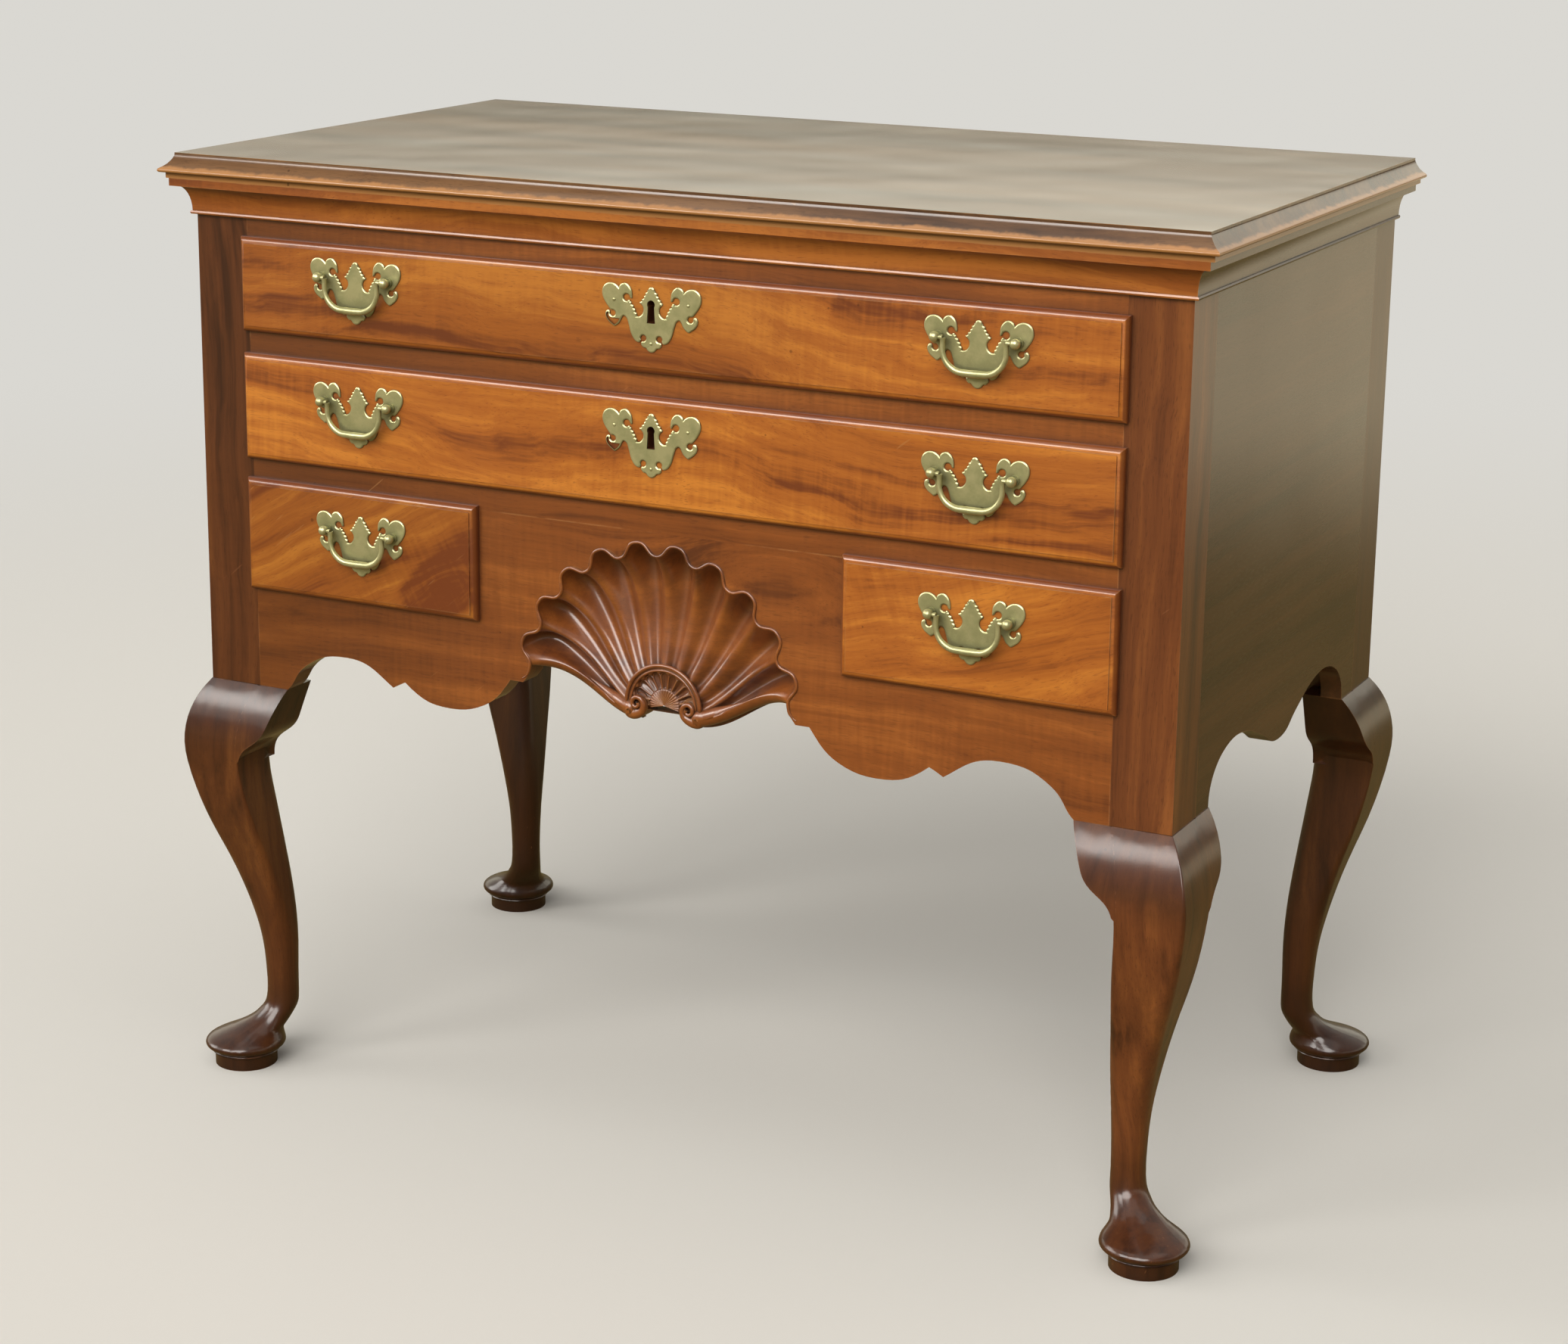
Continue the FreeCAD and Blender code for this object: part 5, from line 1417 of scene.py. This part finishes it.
    def scroll_line(self) -> np.ndarray:
        """The right-hand scroll, which grows out of the roll and curls up.

        Returns:
            Its middle line and radius, as rows of (x, depth, z, radius) in millimetres.
        """
        out = np.linspace(0.50, 0.03, 9)
        on_roll = self.surface(np.full_like(out, float(self.half_lobes)), out)
        grown = np.clip((0.52 - out) / 0.32, 0.1, 1.0)
        radius = self.roll_at(out) * self.scroll_roll * grown
        depth = on_roll[:, 1] + radius + 3.5 * (1 - grown)
        start = np.stack([on_roll[:, 0], depth, on_roll[:, 2], radius], axis=-1)
        curl = [(self.scroll_x + x, self.scroll_front - self.scroll_back * i + r,
                 self.centre_z + z, r) for i, (x, z, r) in enumerate(self.scroll)]
        return self.smooth_path(np.concatenate([start, np.array(curl)]), 8)

    def scroll_walls(self, line: np.ndarray) -> list[bpy.types.Mesh]:
        """The sawn edges behind the two scrolls.

        Args:
            line: the right-hand scroll, as scroll_line gives it.

        Returns:
            The right-hand wall and the left-hand one.
        """
        part = line[56:128]
        along = np.gradient(part[:, [0, 2]], axis=0)
        along /= np.linalg.norm(along, axis=1, keepdims=True)
        side = np.stack([-along[:, 1], along[:, 0]], axis=-1) * part[:, 3:4]
        near = np.stack([part[:, 0] + side[:, 0], part[:, 1], part[:, 2] + side[:, 1]], axis=-1)
        far = near.copy()
        far[:, 1] = self.block - self.wall_gap
        right = grid_mesh("scroll_wall", self.metres(np.stack([near, far], axis=1)))
        left = right.copy()
        for vertex in left.vertices:
            vertex.co.x = -vertex.co.x
        left.flip_normals()
        return [right, left]

    def fan(self) -> bpy.types.Mesh:
        """The little fan inside the hub, with a reeded boss at its foot.

        Returns:
            The fan's mesh.
        """
        reach = np.concatenate([np.linspace(0.5, self.boss, 12), np.linspace(
            self.fan_start, self.fan_start + self.fan_length, 26), self.fan_wall])
        turn = np.linspace(math.pi + self.fan_past, -self.fan_past, 221)
        radius, angle = np.meshgrid(reach, turn, indexing="ij")
        rib = (math.pi / 2 - angle) / (math.pi / 2 + 0.10) * self.fan_ribs / 2
        wave = np.cos(np.pi * rib) ** 2
        along = np.clip((radius - self.fan_start) / self.fan_length, 0, 1)
        hollow = np.sin(np.pi * np.clip(along * 0.9 + 0.1, 0, 1)) ** 0.5
        fluted = self.fan_depth + self.fan_flute * wave * hollow
        reeded = self.reed * np.cos(self.reeds * angle) * np.clip(radius / 8, 0, 1)
        domed = self.boss_depth + reeded + self.boss_fall * (radius / self.boss) ** 4
        depth = np.where(radius < (self.boss + self.fan_start) / 2, domed, fluted)
        scallop = self.fan_edge - self.fan_scallop * (1 - wave)
        wall = 1 / (1 + np.exp((scallop - radius) * 2.4))
        depth = depth + (self.fan_rim_depth - depth) * wall
        x = radius * np.cos(angle)
        z = self.centre_z + np.maximum(radius * np.sin(angle), -self.fan_foot)
        return grid_mesh("shell_fan", self.metres(np.stack([x, depth, z], axis=-1)))

    def fan_lines(self) -> list[tuple[np.ndarray, np.ndarray]]:
        """The thin arches round the fan's hollows.

        Returns:
            For each arch its path and its radius at every point, in metres.
        """
        turn = (math.pi + 0.20) / self.fan_ribs
        leg = np.linspace(self.arch_start, self.arch_leg, 8)[:-1]
        bend = np.sin(np.linspace(0, math.pi, 9))
        reach = np.concatenate([leg, self.arch_leg + self.arch_rise * bend ** 0.6,
                                np.linspace(self.arch_leg, self.arch_start, 8)[1:]])
        way = np.concatenate([np.zeros(7), np.linspace(0, 1, 9), np.ones(7)])
        depth = np.full(len(reach), self.arch_depth)
        thick = np.full(len(reach), self.arch_thick * MM)
        lines = []
        for hollow in range(-(self.fan_ribs // 2), self.fan_ribs // 2 + 1):
            angle = math.pi / 2 - (hollow - 0.46 + 0.92 * way) * turn
            path = np.stack([reach * np.cos(angle), depth,
                             self.centre_z + reach * np.sin(angle)], axis=-1)
            lines.append((self.metres(path), thick))
        return lines

    def hub_arc(self, bead: HubBead) -> tuple[np.ndarray, np.ndarray]:
        """One bead round the hub, thinner towards its ends.

        Args:
            bead: its radius, depth and thickness.

        Returns:
            Its path and its radius at every point, in metres.
        """
        turn = np.linspace(math.pi + 0.12, -0.12, 81)
        path = np.stack([bead.radius * np.cos(turn), np.full(len(turn), bead.depth),
                         self.centre_z + bead.radius * np.sin(turn)], axis=-1)
        fade = np.clip(np.sin(np.linspace(0, math.pi, len(turn))) * 6, 0.45, 1.0)
        return self.metres(path), bead.thick * fade * MM

    def scroll_core(self) -> bpy.types.Mesh:
        """The round ends of the block behind the scrolls.

        Returns:
            The mesh of both.
        """
        work = bmesh.new()
        for side in (-1, 1):
            place = self.metres(np.array([side * (self.scroll_x + self.core_x), self.core_depth,
                                          self.centre_z]))
            turn = Matrix.Translation(place.tolist()) @ Matrix.Rotation(math.pi / 2, 4, "X")
            bmesh.ops.create_cone(work, cap_ends=True, segments=40, radius1=self.core_r * MM,
                                  radius2=self.core_r * MM, depth=self.core_length * MM,
                                  matrix=turn)
        mesh = bpy.data.meshes.new("scroll_core")
        work.to_mesh(mesh)
        work.free()
        return mesh

    def foot_wall(self) -> bpy.types.Mesh:
        """The hub's flat foot between the scrolls.

        Returns:
            The foot's mesh.
        """
        x = np.linspace(-self.foot_half, self.foot_half, 24)
        steps = ((self.block - self.wall_gap, -0.9), (15.0, -0.9), (13.9, -0.6), (13.4, 0.0))
        rows = [np.stack([x, np.full_like(x, depth),
                          np.full_like(x, self.centre_z - self.fan_foot + drop)], axis=-1)
                for depth, drop in steps]
        return grid_mesh("fan_foot", self.metres(np.stack(rows, axis=0)))

    def back(self) -> bpy.types.Mesh:
        """The block's sawn outline behind the carving.

        Returns:
            The CAD node's mesh, drawn back behind the carving.
        """
        mesh = merged_mesh("carved_shell", "shell_block")
        rear = (self.face + self.block) * MM
        for vertex in mesh.vertices:
            vertex.co.y = rear - (rear - vertex.co.y) * self.back_share
        return mesh

    def build(self, wood: bpy.types.Material) -> None:
        """Carve the shell.

        Args:
            wood: its material.
        """
        line = self.scroll_line()
        right, thick = self.metres(line[:, :3]), line[:, 3] * MM
        beads = [self.rim_bead(), (right, thick), (self.mirrored(right), thick)]
        beads += [self.hub_arc(bead) for bead in self.hub_beads] + self.fan_lines()
        paths, radii = zip(*beads)
        parts = [self.front(), self.fan(), self.foot_wall(), *self.scroll_walls(line),
                 BEADS.sweep("shell_beads", paths, radii, wood, 14), self.scroll_core(),
                 self.back()]
        show(joined("concave_shell", parts, wood), self.body, self.slot, "carved_shell")


# ---- Brasses -------------------------------------------------------------------------------------

@dataclass
class PlateSheet:
    """The points and faces of plates and nails while they are made."""

    points: list[Point]
    faces: list[tuple[int, ...]]

    def ring(self, ring: Sequence[Vector], level: float) -> list[int]:
        """Add an outline.

        Args:
            ring: the outline.
            level: its y.

        Returns:
            The numbers of its points.
        """
        first = len(self.points)
        self.points.extend((v.x, level, v.z) for v in ring)
        return list(range(first, first + len(ring)))

    def band(self, a: Sequence[int], b: Sequence[int]) -> None:
        """Join two outlines with as many points by a band of quads."""
        n = len(a)
        self.faces.extend((a[i], a[(i + 1) % n], b[(i + 1) % n], b[i]) for i in range(n))

    def fill(self, rings: Sequence[Sequence[Vector]], numbers: Sequence[int]) -> None:
        """Close the face between an outline and its holes, towards the front.

        Args:
            rings: the outline and its holes.
            numbers: the numbers of all their points.
        """
        flat = [[(v.x, v.z, 0.0) for v in ring] for ring in rings]
        for a, b, c in tessellate_polygon(flat):
            ends = [Vector(self.points[numbers[i]]) for i in (a, b, c)]
            ahead = (ends[1] - ends[0]).cross(ends[2] - ends[0]).y < 0
            self.faces.append(tuple(numbers[i] for i in ((a, b, c) if ahead else (a, c, b))))


@dataclass(frozen=True)
class FiledEdge:
    """A stretch of a plate's edge with small filed scallops.

    Its ends are measured from the plate's middle and from the posts' height, in millimetres.
    """

    start: tuple[float, float]
    end: tuple[float, float]
    teeth: int
    reach: float
    depth: float = 0.95


@dataclass
class Brasses:
    """The pulls, their bails, the escutcheons and the locks.

    The bails' sizes and all heights are in millimetres, the plates' own sizes in metres.
    """

    slot: str = "brass"
    drawers: tuple[str, ...] = ("top", "second", "left", "right")
    post_sharp: float = 40.0

    # the plates and the nails of the escutcheons
    plate_t: float = 1.5 * MM
    bevel: float = 0.85 * MM
    bevel_drop: float = 0.55 * MM
    plate_low: float = 25.2 * MM
    filing: float = 0.35 * MM
    filed_edges: tuple[FiledEdge, ...] = (FiledEdge((2.6, 22.4), (9.4, 12.6), 4, 1.0),
                                          FiledEdge((12.4, 2.2), (19.2, 13.6), 4, 2.2))
    key_plates: tuple[tuple[str, float], ...] = (("top", 699.3), ("second", 601.0))
    nails: tuple[tuple[float, float], ...] = ((-32.5, 13.5), (32.5, 13.5), (0.0, -18.5))
    nail_r: float = 1.35 * MM
    nail_flat: float = 0.55
    nail_sides: int = 16
    nail_rings: int = 10

    # the bails
    pull_x: float = 272.0
    pivot_y: float = -16.0 - 242.5
    pivot_z: tuple[tuple[str, float], ...] = (("top", 708.8), ("second", 607.0), ("", 499.4))
    bail_half: float = 25.2
    bail_drop: float = 24.6
    bail_bend: float = 16.5
    bail_sag: float = 0.35
    grip_r: float = 3.0
    arm_r: float = 1.85
    collar: float = 0.55
    collar_reach: float = 1.6
    pin_reach: float = 6.7
    pin_radii: tuple[float, ...] = (2.1, 1.9, 1.5, 1.5, 1.5)

    def face_loops(self, mesh: bpy.types.Mesh) -> tuple[float, list[list[Vector]]]:
        """The outlines of a plate's front face.

        Args:
            mesh: a merged mesh of one or more plates.

        Returns:
            The face's y and its closed outlines, holes among them.
        """
        work = bmesh.new()
        work.from_mesh(mesh)
        work.faces.ensure_lookup_table()
        flat = [f for f in work.faces if f.normal.y < -0.999 and f.calc_area() > 0]
        tall = {}
        for f in flat:
            level = round(f.calc_center_median().y, 5)
            tall[level] = tall.get(level, 0.0) + f.calc_area()
        front = max(tall, key=tall.get)
        chosen = [f for f in flat if abs(f.calc_center_median().y - front) < 0.02 * MM]
        kept = set(chosen)
        following = {}
        for f in chosen:
            for loop in f.loops:
                if sum(g in kept for g in loop.edge.link_faces) == 1:
                    following[loop.vert] = loop.link_loop_next.vert
        loops = []
        while following:
            start, vert = next(iter(following.items()))
            ring = [start.co.copy()]
            del following[start]
            while vert is not start and vert in following:
                ring.append(vert.co.copy())
                vert = following.pop(vert)
            if len(ring) > 2:
                loops.append(ring)
        work.free()
        return front, loops

    def scalloped(self, ring: Sequence[Vector]) -> list[Vector]:
        """A plate's outline with small scallops filed along its inner edges.

        Args:
            ring: the outline of one plate.

        Returns:
            The finer outline.
        """
        middle = (min(v.x for v in ring) + max(v.x for v in ring)) / 2
        low = min(v.z for v in ring) + self.plate_low
        fine = []
        for here, after in zip(ring, [*ring[1:], ring[0]]):
            steps = max(1, math.ceil((after - here).length / self.filing))
            fine += [here.lerp(after, i / steps) for i in range(steps)]
        for vert in fine:
            side = math.copysign(1.0, vert.x - middle)
            spot = Vector((abs(vert.x - middle), vert.z - low)) / MM
            for edge in self.filed_edges:
                start, along = Vector(edge.start), Vector(edge.end) - Vector(edge.start)
                beside = Vector((along.y, -along.x)).normalized()
                way = (spot - start).dot(along) / along.length_squared
                if not 0.0 <= way <= 1.0 or abs((spot - start).dot(beside)) > edge.reach:
                    continue
                cut = edge.depth * (1 - abs(math.sin(math.pi * edge.teeth * way)))
                into_metal = beside * math.copysign(cut, along.y) * MM
                vert.x += side * into_metal.x
                vert.z += into_metal.y
        return fine

    @staticmethod
    def area(ring: Sequence[Vector]) -> float:
        """Signed area of an outline in the front plane."""
        return 0.5 * sum(a.x * b.z - b.x * a.z for a, b in zip(ring, [*ring[1:], ring[0]]))

    def inset(self, ring: Sequence[Vector], reach: float) -> list[Vector]:
        """Move an outline sideways towards the metal.

        Args:
            ring: the outline.
            reach: how far it moves.

        Returns:
            The moved outline, with as many points.
        """
        moved = []
        for before, here, after in zip([ring[-1], *ring[:-1]], ring, [*ring[1:], ring[0]]):
            a, b = (here - before).normalized(), (after - here).normalized()
            normal = Vector((-(a.z + b.z), 0.0, a.x + b.x))
            size = normal.length
            if size < 0.2:
                moved.append(here.copy())
                continue
            moved.append(here + normal / size * min(reach * 2 / size, reach * 1.6))
        return moved

    def plate_mesh(self, node: str) -> bpy.types.Mesh:
        """Make plates with filed bevels, on the outlines of a CAD node's plates.

        Args:
            node: the CAD node.

        Returns:
            The plates' mesh, open at the back, where they lie on the wood.
        """
        front, loops = self.face_loops(merged_mesh(node, node + "_plate"))
        outers = [self.scalloped(ring) for ring in loops if self.area(ring) > 0]
        holes = [ring for ring in loops if self.area(ring) <= 0]
        rear = front + self.plate_t
        sheet = PlateSheet([], [])
        for outer in outers:
            xs = [v.x for v in outer]
            inside = [hole for hole in holes if min(xs) < hole[0].x < max(xs)]
            lip = self.inset(outer, self.bevel)
            numbers = sheet.ring(lip, front)
            shoulder = sheet.ring(outer, front + self.bevel_drop)
            sheet.band(shoulder, numbers)
            sheet.band(sheet.ring(outer, rear), shoulder)
            for hole in inside:
                edge = sheet.ring(hole, front)
                numbers = numbers + edge
                sheet.band(sheet.ring(hole, rear), edge)
            sheet.fill([lip, *inside], numbers)
        mesh = bpy.data.meshes.new(node + "_bevelled")
        mesh.from_pydata(sheet.points, [], sheet.faces)
        return mesh

    def nail_mesh(self, z: float, front: float) -> bpy.types.Mesh:
        """Make the round heads of an escutcheon's nails.

        Args:
            z: height of the escutcheon's keyhole, in millimetres.
            front: y of its front face, in metres.

        Returns:
            The heads' mesh.
        """
        turns = np.linspace(0, 2 * math.pi, self.nail_sides, endpoint=False)
        falls = np.linspace(0, math.pi, self.nail_rings + 1)[1:-1]
        sheet = PlateSheet([], [])
        for x, up in self.nails:
            middle = Vector((x * MM, front, (z + up) * MM))
            rings = []
            for fall in falls:
                wide, high = self.nail_r * math.sin(fall), self.nail_r * math.cos(fall)
                deep = wide * self.nail_flat
                first = len(sheet.points)
                sheet.points += [middle + Vector((wide * math.cos(a), deep * math.sin(a), high))
                                 for a in turns]
                rings.append(list(range(first, first + len(turns))))
            for upper, lower in zip(rings, rings[1:]):
                sheet.band(lower, upper)
            for ring, pole in ((rings[0], self.nail_r), (rings[-1][::-1], -self.nail_r)):
                tip = len(sheet.points)
                sheet.points.append(middle + Vector((0.0, 0.0, pole)))
                sheet.faces += [(tip, a, b) for a, b in zip(ring, [*ring[1:], ring[0]])]
        mesh = bpy.data.meshes.new("nail_heads")
        mesh.from_pydata(sheet.points, [], sheet.faces)
        mesh.shade_smooth()
        return mesh

    def build(self) -> None:
        """Dress all the metal."""
        brass = AGED_BRASS.material()
        iron = LOCK_IRON.material()
        for drawer in self.drawers:
            body = drawer + "_drawer"
            plate = joined(drawer + "_filed_plates", [self.plate_mesh(drawer + "_pull_plates")],
                           brass)
            show(plate, body, self.slot, drawer + "_pull_plates")
            finished_copy(drawer + "_pull_posts", drawer + "_ball_posts", brass, body, self.slot,
                          self.post_sharp)
        for drawer, z in self.key_plates:
            mesh = self.plate_mesh(drawer + "_escutcheon")
            front = min(v.co.y for v in mesh.vertices)
            plate = joined(drawer + "_key_plate", [mesh, self.nail_mesh(z, front)], brass)
            show(plate, drawer + "_drawer", self.slot, drawer + "_escutcheon")
            dress(drawer + "_lock", iron)
            dress(drawer + "_lock_bolt", iron)
        for drawer, z in self.pivot_z:
            for side, x in (("left", -self.pull_x), ("right", self.pull_x)):
                name = (drawer + "_" if drawer else "") + side + "_bail"
                bar = new_piece(name + "_bar", self.bail_mesh(x, z, brass), brass)
                show(bar, name, self.slot, name)

    def bail_mesh(self, x: float, z: float, brass: bpy.types.Material) -> bpy.types.Mesh:
        """Cast a bail: round, and thickest where it is gripped.

        Args:
            x: its middle, in millimetres.
            z: height of its pivots, in millimetres.
            brass: its material.

        Returns:
            The bail's mesh.
        """
        bend, low = self.bail_bend, z - self.bail_drop
        turns = np.linspace(0, math.pi / 2, 13)
        arm = [(self.bail_half, v) for v in np.linspace(z, low + bend, 6)]
        curve = [(self.bail_half - bend + bend * math.cos(a), low + bend - bend * math.sin(a))
                 for a in turns[1:]]
        grip = [(u, low) for u in np.linspace(self.bail_half - bend, 0, 7)[1:]]
        half = np.array(arm + curve + grip)
        way = np.concatenate([[0], np.cumsum(np.linalg.norm(np.diff(half, axis=0), axis=1))])
        thick = self.arm_r + (self.grip_r - self.arm_r) * (way / way[-1]) ** 1.3
        thick += self.collar * np.exp(-(way / self.collar_reach) ** 2)
        half[:, 1] -= self.bail_sag * (way / way[-1]) ** 4
        line = np.concatenate([half, half[-2::-1] * np.array([-1.0, 1.0])])
        thick = np.concatenate([thick, thick[-2::-1]]) * MM
        paths = [np.stack([x + line[:, 0], np.full(len(line), self.pivot_y), line[:, 1]], axis=-1)]
        ends = np.linspace(self.bail_half, self.bail_half + self.pin_reach, len(self.pin_radii))
        for side in (-1, 1):
            paths.append(np.stack([x + side * ends, np.full_like(ends, self.pivot_y),
                                   np.full_like(ends, z)], axis=-1))
        pin = np.array(self.pin_radii) * MM
        return BEADS.sweep("bail", [path * MM for path in paths], [thick, pin, pin], brass, 18)


def main() -> None:
    """Build the studio and dress the lowboy."""
    logging.basicConfig(level=logging.INFO, format="%(name)s: %(message)s")
    Studio().build()
    case = CaseWork()
    case.build()
    CarvedShell().build(case.shell_wood)
    Drawers().build()
    Brasses().build()


if __name__ == "__main__":
    main()
